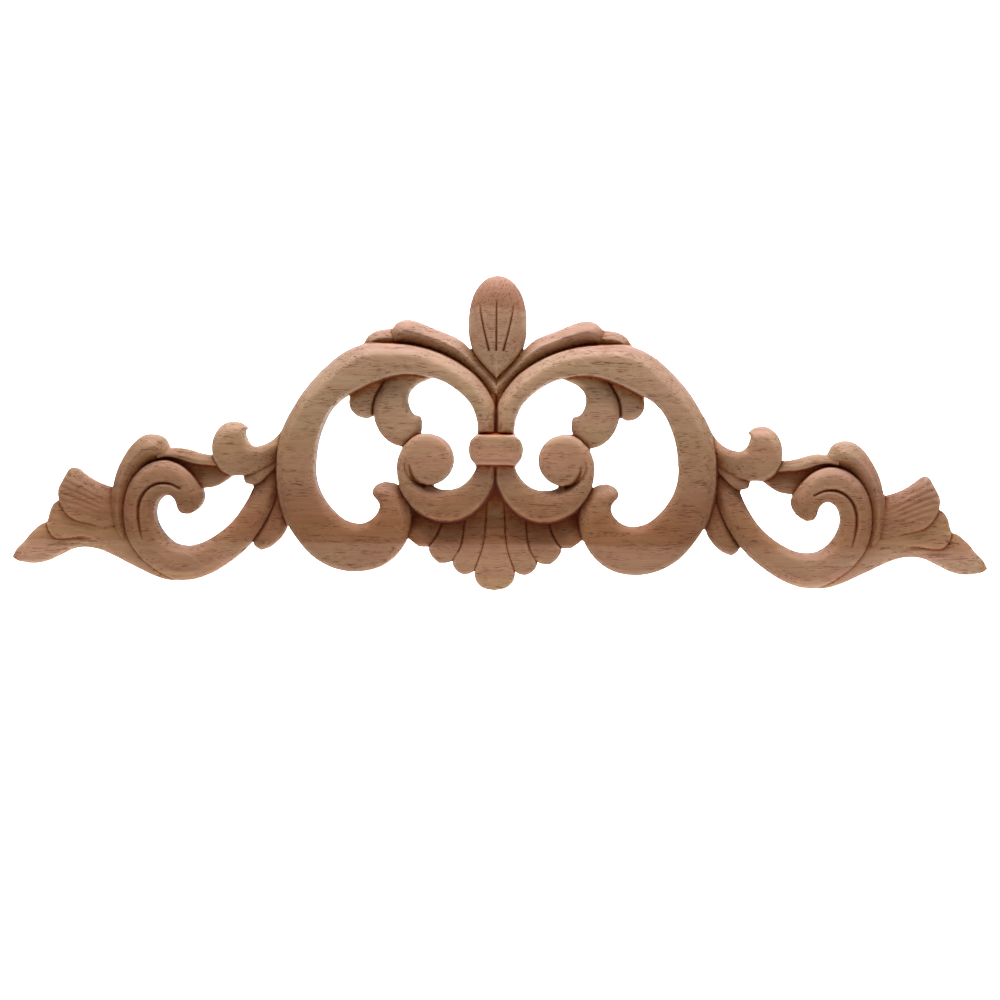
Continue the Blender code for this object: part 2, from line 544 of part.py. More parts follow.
def near_box(points, rows):
    """Which points lie within reach of a strip."""
    xs = rows[:, [0, 2]] if rows.shape[1] > 4 else rows[:, [0]]
    zs = rows[:, [1, 3]] if rows.shape[1] > 4 else rows[:, [1]]
    wide = (points[:, 0] > xs.min() - REACH) & (points[:, 0] < xs.max() + REACH)
    return wide & (points[:, 1] > zs.min() - REACH) & (points[:, 1] < zs.max() + REACH)


def cut_depth(points, path):
    """Depth of a V-cut under each point."""
    rows = along(path, RIB_STEP)
    distance, values, _ = edge(points, rows[:, :2], rows[:, 2:4])
    return values[:, 0] * np.clip(1 - distance / values[:, 1], 0, 1)


def joined(one, two):
    """Signed distance inside either of two outlines, with narrow slits between them filled."""
    near = np.clip(1 - np.abs(one - two) / SLIT, 0, 1)
    return np.maximum(one, two) + near ** 2 * SLIT / 4


def relief(points):
    """Height of the carved front above the back, and signed distance inside the outline."""
    height = np.full(len(points), -FAR)
    cover = np.full(len(points), -FAR)
    for ribs, rate_a, rate_b, rounded in STRIPS:
        close = near_box(points, along(ribs, RIB_STEP))
        if not close.any():
            continue
        face, signed = strip(points[close], ribs, rate_a, rate_b, rounded)
        height[close] = np.maximum(height[close], face)
        cover[close] = joined(cover[close], signed)
    face, signed = eye(points)
    height = np.maximum(height, face)
    cover = joined(cover, signed)
    for path in CUTS:
        close = near_box(points, np.array(path, dtype=float))
        if close.any():
            height[close] -= cut_depth(points[close], path)
    return np.maximum(height, EDGE_FLOOR), cover


def grid_surface():
    """Triangles of one half of the front, clipped to the outline, in millimetres."""
    xs = np.arange(0, HALF_LENGTH + 2 * GRID, GRID)
    zs = np.arange(LOWEST, HIGHEST, GRID)
    grid = np.stack(np.meshgrid(xs, zs, indexing="ij"), axis=2).reshape(-1, 2)
    height, cover = relief(grid)
    cover = np.where(np.abs(cover) < SNAP * GRID, SNAP * GRID, cover)
    count = len(zs)
    first = (np.arange(len(xs) - 1)[:, None] * count + np.arange(count - 1)[None]).ravel()
    flip = (np.arange(len(xs) - 1)[:, None] + np.arange(count - 1)[None]).ravel() % 2 == 0
    a, b, c, d = first, first + count, first + count + 1, first + 1
    one = np.where(flip[:, None], np.stack([a, b, c], 1), np.stack([a, b, d], 1))
    two = np.where(flip[:, None], np.stack([a, c, d], 1), np.stack([b, c, d], 1))
    triangles = np.vstack([one, two])
    inside = cover[triangles] > 0
    total = inside.sum(axis=1)
    whole = triangles[total == 3]
    clipped = []
    for single in (True, False):
        group = triangles[total == (1 if single else 2)]
        flags = inside[total == (1 if single else 2)]
        turn = np.argmax(flags if single else ~flags, axis=1)
        index = (turn[:, None] + np.arange(3)[None]) % 3
        clipped.append(np.take_along_axis(group, index, axis=1))
    lone, pair = clipped
    cuts = np.vstack([lone[:, [0, 1]], lone[:, [0, 2]], pair[:, [1, 0]], pair[:, [2, 0]]])
    keys, slot = np.unique(cuts, axis=0, return_inverse=True)
    slot = slot.ravel() + len(grid)
    share = cover[keys[:, 0]] / (cover[keys[:, 0]] - cover[keys[:, 1]])
    crossing = grid[keys[:, 0]] + share[:, None] * (grid[keys[:, 1]] - grid[keys[:, 0]])
    n, m = len(lone), len(pair)
    p, q = slot[:n], slot[n:2 * n]
    r, s = slot[2 * n:2 * n + m], slot[2 * n + m:]
    faces = np.vstack([
        whole,
        np.stack([lone[:, 0], p, q], 1),
        np.stack([pair[:, 1], pair[:, 2], s], 1),
        np.stack([pair[:, 1], s, r], 1),
    ])
    points = np.vstack([grid, crossing])
    used, faces = np.unique(faces, return_inverse=True)
    points = points[used]
    height, _ = relief(points)
    return np.column_stack([points, height]), faces.reshape(-1, 3)


def make_mesh(name, corners, faces):
    mesh = bpy.data.meshes.new(name)
    mesh.from_pydata(corners.tolist(), [], faces.tolist())
    mesh.update()
    return mesh


def thinned(corners, faces, target):
    """The same open surface with fewer faces, kept finest along creases."""
    body = bpy.data.objects.new("thinning", make_mesh("thinning", corners, faces))
    bpy.context.scene.collection.objects.link(body)
    thin = body.modifiers.new("thin", "DECIMATE")
    thin.ratio = target / len(faces)
    thin.use_collapse_triangulate = True
    result = body.evaluated_get(bpy.context.evaluated_depsgraph_get()).to_mesh()
    new_corners = np.empty(len(result.vertices) * 3)
    result.vertices.foreach_get("co", new_corners)
    new_faces = np.empty(len(result.loops), dtype=int)
    result.loops.foreach_get("vertex_index", new_faces)
    bpy.data.objects.remove(body)
    return new_corners.reshape(-1, 3), new_faces.reshape(-1, 3)


def open_edges(faces):
    """Edges with a face on one side only, directed as their face runs."""
    pairs = np.vstack([faces[:, [0, 1]], faces[:, [1, 2]], faces[:, [2, 0]]])
    key = pairs[:, 0] * (faces.max() + 1) + pairs[:, 1]
    back = pairs[:, 1] * (faces.max() + 1) + pairs[:, 0]
    return pairs[~np.isin(key, back)]


def filled(points, outline):
    """Triangles that fill an outline, whose straight pieces run with the wood on their left."""
    flat = [Vector(point) for point in points.tolist()]
    result = delaunay_2d_cdt(flat, outline.tolist(), [], 0, TINY)
    where = [origin[0] for origin in result[3]]
    triangles = [[where[corner] for corner in face] for face in result[2]]
    owner = {}
    for index, (a, b, c) in enumerate(triangles):
        owner[a, b] = owner[b, c] = owner[c, a] = index
    border = [tuple(pair) for pair in outline.tolist()]
    waiting = [owner[pair] for pair in border]
    inside = set(waiting)
    border = set(border)
    while waiting:
        a, b, c = triangles[waiting.pop()]
        for pair in ((a, b), (b, c), (c, a)):
            other = owner.get((pair[1], pair[0]))
            if pair not in border and other is not None and other not in inside:
                inside.add(other)
                waiting.append(other)
    return np.array([triangles[index] for index in sorted(inside)])


def closed(corners, faces):
    """Adds the walls and the flat back under one half of the front, open at the centre plane."""
    edges = open_edges(faces)
    edges = edges[(corners[edges, 0] > 0).any(axis=1)]
    border, place = np.unique(edges, return_inverse=True)
    place = place.reshape(-1, 2)
    base = corners[border].copy()
    base[:, 2] = 0
    count = len(corners)
    low = place + count
    walls = np.vstack([
        np.column_stack([edges[:, 1], edges[:, 0], low[:, 0]]),
        np.column_stack([edges[:, 1], low[:, 0], low[:, 1]]),
    ])
    ends = np.flatnonzero(base[:, 0] == 0)
    ends = ends[np.argsort(base[ends, 1])]
    outline = np.vstack([place, ends.reshape(-1, 2)[:, ::-1]])
    back = filled(base[:, :2], outline)[:, ::-1]
    return np.vstack([corners, base]), np.vstack([faces, walls, back + count])


def mirrored(corners, faces):
    """Both halves, sharing the corners on the centre plane, with the back made truly flat."""
    corners = corners.copy()
    corners[np.abs(corners[:, 2]) < SNAP, 2] = 0
    middle = np.isin(np.arange(len(corners)), open_edges(faces))
    corners[middle, 0] = 0
    side = np.flatnonzero(~middle)
    twin = np.arange(len(corners))
    twin[side] = len(corners) + np.arange(len(side))
    other = corners[side] * [-1, 1, 1]
    return np.vstack([corners, other]), np.vstack([faces, twin[faces][:, ::-1]])


def wood():
    material = bpy.data.materials.new("rubberwood")
    material.use_nodes = True
    shader = material.node_tree.nodes["Principled BSDF"]
    shader.inputs["Base Color"].default_value = WOOD_COLOUR
    shader.inputs["Roughness"].default_value = WOOD_ROUGHNESS
    shader.inputs["Metallic"].default_value = 0.0
    return material


def build():
    for item in list(bpy.data.objects):
        bpy.data.objects.remove(item, do_unlink=True)
    corners, faces = thinned(*closed(*grid_surface()), HALF_FACES)
    corners, faces = mirrored(corners, faces)
    placed = np.column_stack([corners[:, 0], -corners[:, 2], corners[:, 1]]) * MM
    mesh = make_mesh("carving", placed, faces)
    mesh.materials.append(wood())
    mesh.shade_smooth()
    mesh.set_sharp_from_angle(angle=np.radians(CREASE_ANGLE))
    body = bpy.data.objects.new("carving", mesh)
    bpy.context.scene.collection.objects.link(body)


build()
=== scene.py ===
import math

import bpy
import numpy as np
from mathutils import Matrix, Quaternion, Vector
from mathutils.geometry import delaunay_2d_cdt


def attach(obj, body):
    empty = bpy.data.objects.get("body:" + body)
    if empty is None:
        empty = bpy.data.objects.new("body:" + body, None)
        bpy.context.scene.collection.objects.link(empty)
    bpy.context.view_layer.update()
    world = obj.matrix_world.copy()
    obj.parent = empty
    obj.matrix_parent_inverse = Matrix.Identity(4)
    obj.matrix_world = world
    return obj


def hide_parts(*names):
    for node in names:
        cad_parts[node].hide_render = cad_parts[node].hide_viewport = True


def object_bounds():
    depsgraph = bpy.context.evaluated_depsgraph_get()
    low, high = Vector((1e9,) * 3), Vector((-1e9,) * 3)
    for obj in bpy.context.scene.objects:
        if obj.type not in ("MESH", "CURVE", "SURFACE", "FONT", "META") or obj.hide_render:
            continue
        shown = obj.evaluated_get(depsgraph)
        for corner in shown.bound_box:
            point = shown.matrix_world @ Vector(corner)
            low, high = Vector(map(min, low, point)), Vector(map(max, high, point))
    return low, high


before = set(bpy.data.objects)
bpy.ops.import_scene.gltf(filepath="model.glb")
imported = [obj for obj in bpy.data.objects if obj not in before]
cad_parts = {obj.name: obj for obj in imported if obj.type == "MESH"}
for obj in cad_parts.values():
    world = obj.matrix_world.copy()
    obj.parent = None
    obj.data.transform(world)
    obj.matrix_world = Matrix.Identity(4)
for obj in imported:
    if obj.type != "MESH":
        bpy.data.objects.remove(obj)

cadLow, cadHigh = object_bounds()
mm = 0.001

# The carving is drawn on one half, in millimetres: "out" is the distance from the centre line and "up" the
# height above the middle of the knot. Every leaf or scroll is a strip between two edges, given as ribs from
# its root to its tip: edge A out, up, edge B out, up, height of the face above the back, bevel at A and at B.

carvingOptions = {
    "grid": 0.42,      # spacing of the surface points before thinning
    "halfFaces": 94000,
    "halfLength": 250,
    "bottom": -74,           # the grid of points reaches a little past the wood
    "top": 92,
    "thickness": 19.95,      # nothing stands higher than the knot
    "leastThickness": 1.5,
    "wallSlope": 4.0,        # rise per run of the steps between overlapping leaves
    "ridgeSoftness": 1.4,    # how far a bevel's ridge is rubbed round
    "rimRadius": 0.5,        # sanded edge along the outline
    "slit": 1.8,             # how close two outlines run before the slit between them is filled
    "ribStep": 2.0,          # spacing of the points along a strip's edges
    "sliver": 0.12,          # least share of the grid between a point and the outline
    "flatBack": 0.12,        # corners this close to the back are laid on it
    "slowWaver": 0.07,       # height of the broad unevenness left by the gouge
    "quickWaver": 0.03,      # height of the fine unevenness left by sanding
    "creaseAngle": 40,       # sharper folds are shaded as edges
}

tiny = 1e-6      # shorter lengths count as none
farBelow = -1000.0      # height and cover before any strip is laid


def acrossMiddle(rows):
    # ribs centred on the middle, from half width, up, height of the face and bevel
    return [(-half, up, half, up, face, bevel, bevel) for half, up, face, bevel in rows]


# Middle of the carving: main scroll, crest leaves, bud, knot, inner leaves, small scroll and shell

mainScroll = [
    (-0.6, 4, 9.3, 4, 15.8, 4.0, 0.7),
    (-0.6, 13, 9.3, 13, 15.8, 4.0, 0.7),
    (0.8, 22, 11.8, 21, 16.2, 4.2, 0.7),
    (5, 30, 15.3, 25.8, 16.8, 4.5, 0.7),
    (11, 37.2, 20.5, 30.3, 17.0, 4.7, 0.7),
    (20, 43.8, 27.2, 34.4, 17.0, 4.8, 0.7),
    (30, 48.7, 34.8, 37, 17.0, 4.8, 0.7),
    (42, 52, 43.5, 38.2, 17.0, 4.8, 0.7),
    (55, 53.2, 53.5, 37.2, 17.0, 5.0, 0.7),
    (68, 53.2, 63, 34, 17.0, 6.0, 0.7),
    (79, 48.6, 72, 29.6, 16.8, 6.5, 0.7),
    (88.5, 40.7, 79.3, 25.3, 16.5, 6.5, 0.7),
    (96.8, 31.6, 85, 19.5, 16.3, 5.8, 0.7),
    (103.6, 21.3, 89, 11.5, 16.2, 5.0, 0.8),
    (108.6, 11, 91.4, 4, 16.0, 4.5, 1.2),
    (111.3, 0, 92.6, -4, 16.0, 4.0, 1.8),
    (111.8, -12, 92.9, -12, 16.0, 3.8, 2.0),
    (110.5, -25, 91.3, -19.8, 15.8, 3.5, 2.2),
    (107.2, -37, 87.8, -26.6, 15.5, 3.0, 2.6),
    (101, -47, 83.2, -32.2, 15.3, 2.6, 3.0),
    (92.5, -56, 77.8, -36.5, 15.0, 2.2, 3.3),
    (81.5, -61.7, 72.3, -38.3, 15.0, 2.0, 3.3),
    (70, -63.2, 67.3, -38.2, 15.0, 2.0, 3.2),
    (59, -60.7, 62.9, -36, 15.0, 2.0, 2.8),
    (50.5, -54.3, 60.2, -33, 15.0, 2.4, 2.4),
    (45.5, -46.5, 59.1, -30.2, 15.0, 3.2, 2.0),
    (43.4, -38, 59.4, -27.8, 15.0, 4.2, 2.0),
    (43.9, -31, 60.8, -25.9, 14.8, 4.6, 2.0),
    (46.2, -24.6, 62.5, -23.8, 14.4, 4.6, 2.2),
    (49.3, -19.4, 62.5, -20.8, 14.0, 4.4, 2.6),
    (52.7, -17.4, 60.5, -18.3, 13.6, 4.0, 3.0),
    (56.8, -16.9, 56.8, -16.9, 13.4, 3.6, 3.0),
]

crestLeaf = [
    (-2, 34.3, -2, 20.5, 13.6, 5.0, 6.0),
    (5, 41.5, 3, 26.8, 13.6, 5.0, 6.0),
    (10, 46.8, 8, 34, 13.7, 5.0, 6.2),
    (14.6, 52, 14.2, 39.7, 13.9, 5.0, 6.4),
    (19.5, 56.2, 21, 44.6, 14.0, 5.2, 6.5),
    (26, 59.2, 28.7, 48.3, 14.0, 5.4, 6.5),
    (33, 61.9, 35.8, 51, 14.0, 5.4, 6.5),
    (40, 64.8, 42.2, 52.4, 14.0, 5.4, 7.0),
    (46, 66, 47.8, 53.2, 14.0, 5.2, 7.0),
    (50.8, 64.7, 51.6, 53.6, 14.0, 5.0, 6.5),
    (53.6, 61.4, 53.8, 55, 13.8, 5.0, 5.0),
    (54.5, 58, 54.5, 58, 13.6, 5.0, 5.0),
]

crestUnderleaf = [
    (44, 58, 44, 52, 8.2, 4.0, 3.0),
    (49.5, 60.2, 50, 52.8, 9.8, 4.0, 3.0),
    (54.4, 61.3, 55, 53, 11.2, 4.0, 3.0),
    (58.8, 61, 59.6, 53, 11.6, 4.0, 3.0),
    (62.6, 60, 64, 52.3, 11.5, 4.0, 2.8),
    (66.4, 57.4, 67.2, 51.6, 11.3, 4.0, 2.5),
    (68.6, 53.6, 68.6, 53.6, 11.0, 4.0, 2.5),
]

bud = acrossMiddle([
    (0, 89, 18.0, 14.5),
    (5, 87.6, 18.0, 14.5),
    (9.3, 84, 18.0, 14.5),
    (12.4, 78.8, 18.0, 14.5),
    (14.2, 72, 18.0, 14.5),
    (14.8, 64, 18.0, 14.5),
    (14.2, 56, 17.8, 14.5),
    (12.2, 50, 17.4, 14.0),
    (8.7, 45, 17.0, 13.0),
    (4.4, 40.3, 16.5, 12.0),
    (0, 36, 16.0, 12.0),
])

knotFace = 19.86
knot = [
    (-4, 6.9, -4, -7.6, knotFace, 1.2, 3.0),
    (3, 6.9, 3, -7.6, knotFace, 1.2, 3.0),
    (7.3, 6.9, 7.3, -7.6, knotFace - 0.2, 1.2, 3.0),
    (9.6, 7.0, 10, -7.6, knotFace - 0.5, 3.6, 5.0),
    (12.4, 4.8, 12.6, -4.8, knotFace - 1.0, 7.5, 7.5),
    (13.8, 0.2, 13.8, 0.2, knotFace - 1.8, 8.0, 8.0),
]

innerLeaf = [
    (50, 44, 30, 42, 12.6, 2.4, 2.0),
    (55.2, 36, 34.6, 36.2, 12.6, 2.4, 2.0),
    (58.6, 31.8, 41.4, 32.8, 12.6, 2.4, 2.0),
    (61, 27.5, 44.8, 29, 12.6, 2.4, 2.0),
    (62.5, 22.5, 45.6, 24.7, 12.7, 2.4, 2.0),
    (62.8, 18, 44.5, 20.4, 12.9, 2.4, 2.0),
    (62, 13.6, 42, 17.5, 13.1, 2.4, 2.0),
    (60.5, 10, 39.3, 16.8, 13.2, 2.6, 2.0),
    (58.2, 6.5, 38.3, 12.8, 13.2, 2.8, 2.2),
    (55, 3.7, 39.2, 8, 13.1, 3.0, 2.6),
    (51.8, 1.9, 42.8, 3.4, 13.0, 3.0, 3.0),
    (47.6, 0.9, 47.6, 0.9, 12.8, 3.0, 3.0),
]

innerUnderleaf = [
    (66, 41, 52, 42, 11.4, 2.4, 2.4),
    (71, 34, 55.5, 36, 11.4, 2.4, 2.4),
    (74.6, 28, 59, 31.2, 11.4, 2.4, 2.4),
    (75.6, 24, 61.4, 27, 11.4, 2.4, 2.4),
    (74.9, 20.4, 62.5, 22.8, 11.4, 2.6, 2.4),
    (72.9, 17.6, 63, 19.6, 11.3, 2.8, 2.4),
    (69.8, 15.8, 63.6, 17, 11.2, 3.0, 2.4),
    (66.4, 15.3, 66.4, 15.3, 11.0, 3.0, 2.4),
]

volute = [
    (-0.6, -4, 9.6, -4, 15.5, 2.2, 2.0),
    (-0.6, -10, 9.9, -9.6, 15.5, 2.2, 2.0),
    (0.8, -15.6, 11.8, -13.4, 15.5, 2.2, 2.2),
    (3.4, -21.6, 14.6, -16.7, 15.4, 2.2, 2.5),
    (7.2, -27.6, 18, -19.1, 15.3, 2.2, 3.0),
    (12.6, -32.5, 21.8, -20.4, 15.2, 2.2, 3.5),
    (19.4, -35.6, 25.2, -20.7, 15.1, 2.2, 4.5),
    (26.6, -36.2, 28.6, -20.4, 15.0, 2.2, 5.5),
    (33.6, -34.7, 31.8, -19.2, 15.0, 2.2, 6.5),
    (40, -31, 35.4, -17.5, 14.9, 2.2, 6.5),
    (45.2, -25.8, 38.8, -15, 14.8, 2.2, 6.0),
    (48.7, -19.6, 42.2, -11.9, 15.0, 2.2, 5.0),
    (50.2, -12.6, 43, -8, 15.5, 2.4, 3.6),
    (50.1, -6.2, 38, -5.4, 15.9, 2.6, 3.0),
    (48.2, -1, 33, -4.6, 15.9, 3.0, 2.6),
    (44.4, 3.6, 30, -1.4, 15.9, 3.2, 2.4),
    (39.8, 6.8, 30, 3, 15.9, 3.0, 2.4),
    (34, 7.5, 34, 7.5, 15.8, 2.6, 2.4),
]

voluteBoss = {"out": 34.9, "up": -5.3, "radius": 13.1, "face": 15.9, "bevel": 5.5, "rate": 0.55}

shellCentre = acrossMiddle([
    (4.2, -10, 6.0, 1.5),
    (4.2, -24, 6.2, 1.5),
    (4.5, -35, 7.2, 1.5),
    (5.2, -44, 9.1, 1.5),
    (6.4, -51, 10.7, 1.5),
    (8.2, -57, 11.7, 1.5),
    (10, -62, 12.1, 1.5),
    (9.7, -66.4, 12.0, 1.5),
    (6.4, -70.4, 11.6, 2.4),
    (0, -72, 11.4, 2.4),
])

shellRayInner = [
    (4.1, -24, 12.5, -24, 6.0, 1.5, 1.5),
    (4.6, -35, 15.2, -35, 6.6, 1.5, 1.5),
    (5.3, -44, 16.1, -43.5, 8.7, 1.5, 1.5),
    (6.5, -51, 17.4, -50.4, 10.5, 1.5, 1.5),
    (8.4, -57, 20.8, -56.4, 11.3, 1.5, 1.5),
    (10.4, -61.6, 21.2, -59.4, 11.6, 1.5, 1.5),
    (12.8, -63.6, 18.9, -62.6, 11.4, 2.4, 2.4),
    (15.8, -64.1, 15.8, -64.1, 11.2, 2.4, 2.4),
]

shellRayMiddle = [
    (12.4, -24, 22, -24, 5.8, 1.5, 1.5),
    (15.3, -35, 26.4, -34.5, 6.2, 1.5, 1.5),
    (16.3, -43.5, 28.6, -42, 8.3, 1.5, 1.5),
    (18.2, -51.6, 31.6, -47.6, 10.2, 1.5, 1.5),
    (21.6, -56.8, 33.8, -51.4, 10.8, 1.5, 1.5),
    (24.4, -58.2, 32, -55.2, 10.9, 2.4, 2.4),
    (28.4, -58.4, 28.4, -58.4, 10.7, 2.4, 2.4),
]

shellRayOuter = [
    (22, -24, 42, -24, 5.6, 1.5, 1.5),
    (26.6, -34.5, 46, -31, 6.0, 1.5, 1.5),
    (29, -42, 47.5, -38, 7.9, 1.5, 1.5),
    (32.4, -48, 46.5, -43.6, 9.6, 1.5, 1.5),
    (35, -50.1, 43.4, -46.7, 10.0, 2.4, 2.4),
    (39.2, -49.9, 39.2, -49.9, 10.0, 2.4, 2.4),
]

# Wing: hook leaf, curled scroll, crescent leaf and tail

hookLeaf = [
    (105.5, 17, 106, -5, 9.0, 2.6, 2.4),
    (109.6, 9.9, 111.4, -7.4, 9.6, 2.8, 2.4),
    (113.5, 5, 117, -10.2, 11.2, 3.0, 2.6),
    (118, 1.9, 122.8, -13, 12.6, 3.0, 2.6),
    (122.2, 0.5, 128.6, -14.4, 13.4, 3.0, 2.4),
    (125.6, 0.9, 134.2, -14.4, 14.0, 2.6, 1.8),
    (127.8, 2.9, 139.5, -12.2, 14.2, 2.0, 1.6),
    (129, 5.5, 143.5, -7.4, 14.4, 1.6, 1.5),
    (129.5, 7.3, 145.5, -1.6, 14.6, 1.5, 2.0),
    (129.5, 8.5, 145.1, 4, 14.6, 1.4, 3.4),
    (128.9, 9.2, 142.9, 8.8, 14.6, 1.4, 4.6),
    (128.5, 10, 139, 12.3, 14.4, 1.6, 4.8),
    (129.8, 11.6, 134.6, 13.3, 14.0, 2.4, 4.8),
    (131.8, 12.7, 131.8, 12.7, 13.8, 3.0, 4.8),
]

hookUnderleaf = [
    (109, -2, 108, -7, 8.8, 2.0, 1.2),
    (113.5, -6, 112, -8.8, 9.4, 2.0, 1.2),
    (119, -9, 115.8, -12.8, 10.4, 2.2, 1.4),
    (124.5, -12, 119.6, -16.5, 11.2, 2.4, 1.6),
    (128.8, -14.3, 123.4, -18.8, 11.5, 2.2, 1.8),
    (129.3, -16.6, 126.2, -19.1, 11.4, 1.8, 1.8),
    (128.4, -18.4, 128.4, -18.4, 11.0, 1.6, 1.8),
]

wingScroll = [
    (111, -6, 121, -8, 7.0, 2.4, 2.0),
    (111.6, -17, 123.9, -18.2, 8.6, 2.6, 2.4),
    (113.4, -27, 126.8, -25.6, 10.8, 3.0, 2.6),
    (117, -35.6, 130.6, -32.4, 12.4, 3.2, 2.4),
    (122.6, -45, 135.7, -39, 13.0, 3.4, 2.6),
    (129.4, -53, 141.8, -44.2, 13.4, 3.6, 2.8),
    (138, -60, 148.2, -48.1, 13.5, 4.0, 3.2),
    (148, -65.9, 154.2, -50.3, 13.5, 4.2, 3.8),
    (158, -68.7, 159.6, -50.8, 13.5, 4.4, 4.0),
    (167, -67.2, 164.4, -49.8, 13.5, 4.0, 4.0),
    (175, -62.6, 168.6, -47, 13.6, 3.0, 4.0),
    (182.2, -56.4, 171.8, -43.3, 13.7, 2.6, 3.8),
    (187.8, -48.6, 174, -39.4, 13.8, 2.6, 3.4),
    (190.4, -39.6, 175.1, -35.6, 13.9, 2.8, 3.0),
    (190.7, -30.6, 175.1, -32, 14.0, 3.0, 2.4),
    (188.8, -21.6, 174.1, -28.7, 14.0, 3.2, 2.0),
    (184, -14, 172.1, -26.2, 14.0, 3.2, 1.8),
    (177, -9, 169.8, -25.1, 14.0, 3.2, 1.8),
    (169.6, -7.6, 167.6, -25.2, 13.9, 3.2, 1.8),
    (162.6, -9.7, 165.7, -26.3, 13.8, 3.2, 1.8),
    (157, -14.2, 164.4, -28, 13.6, 3.4, 1.8),
    (152.8, -19.4, 163.8, -29.8, 13.3, 4.4, 1.8),
    (150.3, -24.4, 163.3, -31.6, 13.0, 5.0, 1.8),
    (151.2, -28.8, 162.4, -33.3, 12.8, 4.6, 2.0),
    (154.5, -32.6, 160.9, -34.4, 12.6, 3.6, 2.2),
    (158.2, -34.8, 158.2, -34.8, 12.4, 2.6, 2.4),
]

curlLeaf = [
    (183, -60, 180, -58.6, 9.6, 1.2, 1.6),
    (189.6, -52.6, 185.5, -52.5, 10.6, 1.5, 2.8),
    (194.4, -44.5, 188.5, -45.5, 11.6, 2.0, 3.6),
    (196.9, -36, 189.8, -37, 12.4, 2.7, 4.2),
    (197.5, -27.5, 189.8, -29.5, 12.8, 3.2, 4.6),
    (196.5, -18.8, 188.2, -22.6, 13.2, 3.6, 5.4),
    (194.3, -11.2, 184.8, -17.2, 13.4, 4.0, 7.0),
    (191, -4.6, 180.8, -13, 13.6, 4.7, 8.3),
    (186.4, 1.7, 177, -10.4, 13.8, 5.2, 9.5),
    (181.2, 5.6, 173.4, -9, 13.8, 6.0, 10.0),
    (175.8, 6.3, 170.8, -7.4, 13.6, 6.4, 8.0),
    (171.4, 4.5, 168.8, -4.6, 13.2, 5.6, 4.5),
    (169, 0.4, 169, 0.4, 12.8, 5.0, 4.0),
]

bridgeRib = [
    (174, 0, 174, -6, 11.2, 3.6, 1.2),
    (169, -0.9, 168.6, -5, 11.4, 3.6, 1.2),
    (163.5, -0.5, 163, -6, 11.5, 3.8, 1.4),
    (158, -1.4, 157.4, -7.8, 11.5, 4.0, 1.6),
    (152.4, -3.2, 152, -8.8, 11.4, 3.8, 1.6),
    (147, -4.1, 146.6, -9.2, 11.2, 3.4, 1.6),
    (141, -4.6, 141, -10, 10.8, 3.2, 1.6),
    (135, -5, 135, -10, 10.4, 3.0, 1.6),
]

bridgeLeaf = [
    (164, -5, 158, -20, 7.4, 8.0, 1.4),
    (158.5, -6.5, 153.6, -20.6, 7.6, 9.0, 1.4),
    (153.5, -7.5, 149.6, -21.1, 7.8, 9.0, 1.4),
    (148.5, -8, 145, -20.4, 7.8, 8.5, 1.4),
    (144, -8.5, 141, -18.4, 7.8, 7.5, 1.4),
    (139.5, -9, 137.4, -15.8, 8.0, 5.5, 1.4),
    (134.5, -9.5, 134, -13.6, 8.2, 3.5, 1.4),
]

tailTip = [
    (160, -68, 166, -56, 10.6, 4.2, 1.0),
    (167, -68.9, 172, -56, 10.6, 4.2, 1.0),
    (175, -66.8, 179, -52, 10.6, 4.2, 1.0),
    (183, -63.1, 187, -46, 10.6, 4.0, 1.0),
    (190, -59.8, 194, -41, 9.9, 3.8, 1.0),
    (197, -56.3, 201, -38, 9.8, 3.6, 1.0),
    (204, -53.5, 208, -37.5, 9.6, 3.4, 1.0),
    (211, -52.4, 215, -38, 9.3, 3.2, 1.2),
    (218, -53.3, 222, -38.4, 9.0, 3.0, 2.0),
    (224.6, -56.3, 229, -39.2, 8.7, 2.8, 3.4),
    (231, -59.5, 234.4, -40.4, 8.4, 2.6, 3.8),
    (237, -61, 239.4, -44.4, 7.9, 2.4, 3.6),
    (242.8, -60.7, 244, -49.8, 7.3, 2.2, 3.0),
    (247.4, -59.7, 248.2, -54.2, 6.7, 2.0, 2.4),
    (250, -57.9, 250, -57.9, 6.1, 1.8, 2.0),
]

tailMiddle = [
    (190, -53, 190, -34, 8.9, 1.3, 2.0),
    (198, -50, 198, -33, 9.4, 1.3, 2.0),
    (206, -48, 206, -32, 10.2, 1.3, 2.0),
    (213, -46.8, 213, -30.6, 10.9, 1.3, 2.0),
    (220.8, -47.8, 219.6, -29.2, 11.1, 1.3, 2.2),
    (226.6, -47.6, 225.2, -28.3, 11.1, 1.3, 2.6),
    (229.9, -44, 228.4, -30.9, 11.1, 1.3, 3.0),
    (230.9, -38.5, 230.9, -38.5, 10.9, 1.3, 3.0),
]

tailTop = [
    (188, -44, 188, -20, 9.4, 1.2, 5.0),
    (195.5, -43.8, 197, -21.3, 9.8, 1.2, 5.0),
    (202.6, -42, 204, -19.4, 10.9, 1.2, 5.2),
    (209, -40, 209.6, -16.6, 12.0, 1.2, 5.6),
    (214.8, -38.6, 213.6, -13.8, 12.8, 1.2, 6.0),
    (219.4, -36, 216.6, -11.5, 13.3, 1.2, 6.0),
    (222.9, -31.6, 219.5, -11.9, 13.4, 1.6, 5.6),
    (225, -26, 222.3, -16.6, 13.2, 1.6, 4.0),
    (224.9, -21.6, 224.9, -21.6, 13.0, 1.6, 3.0),
]

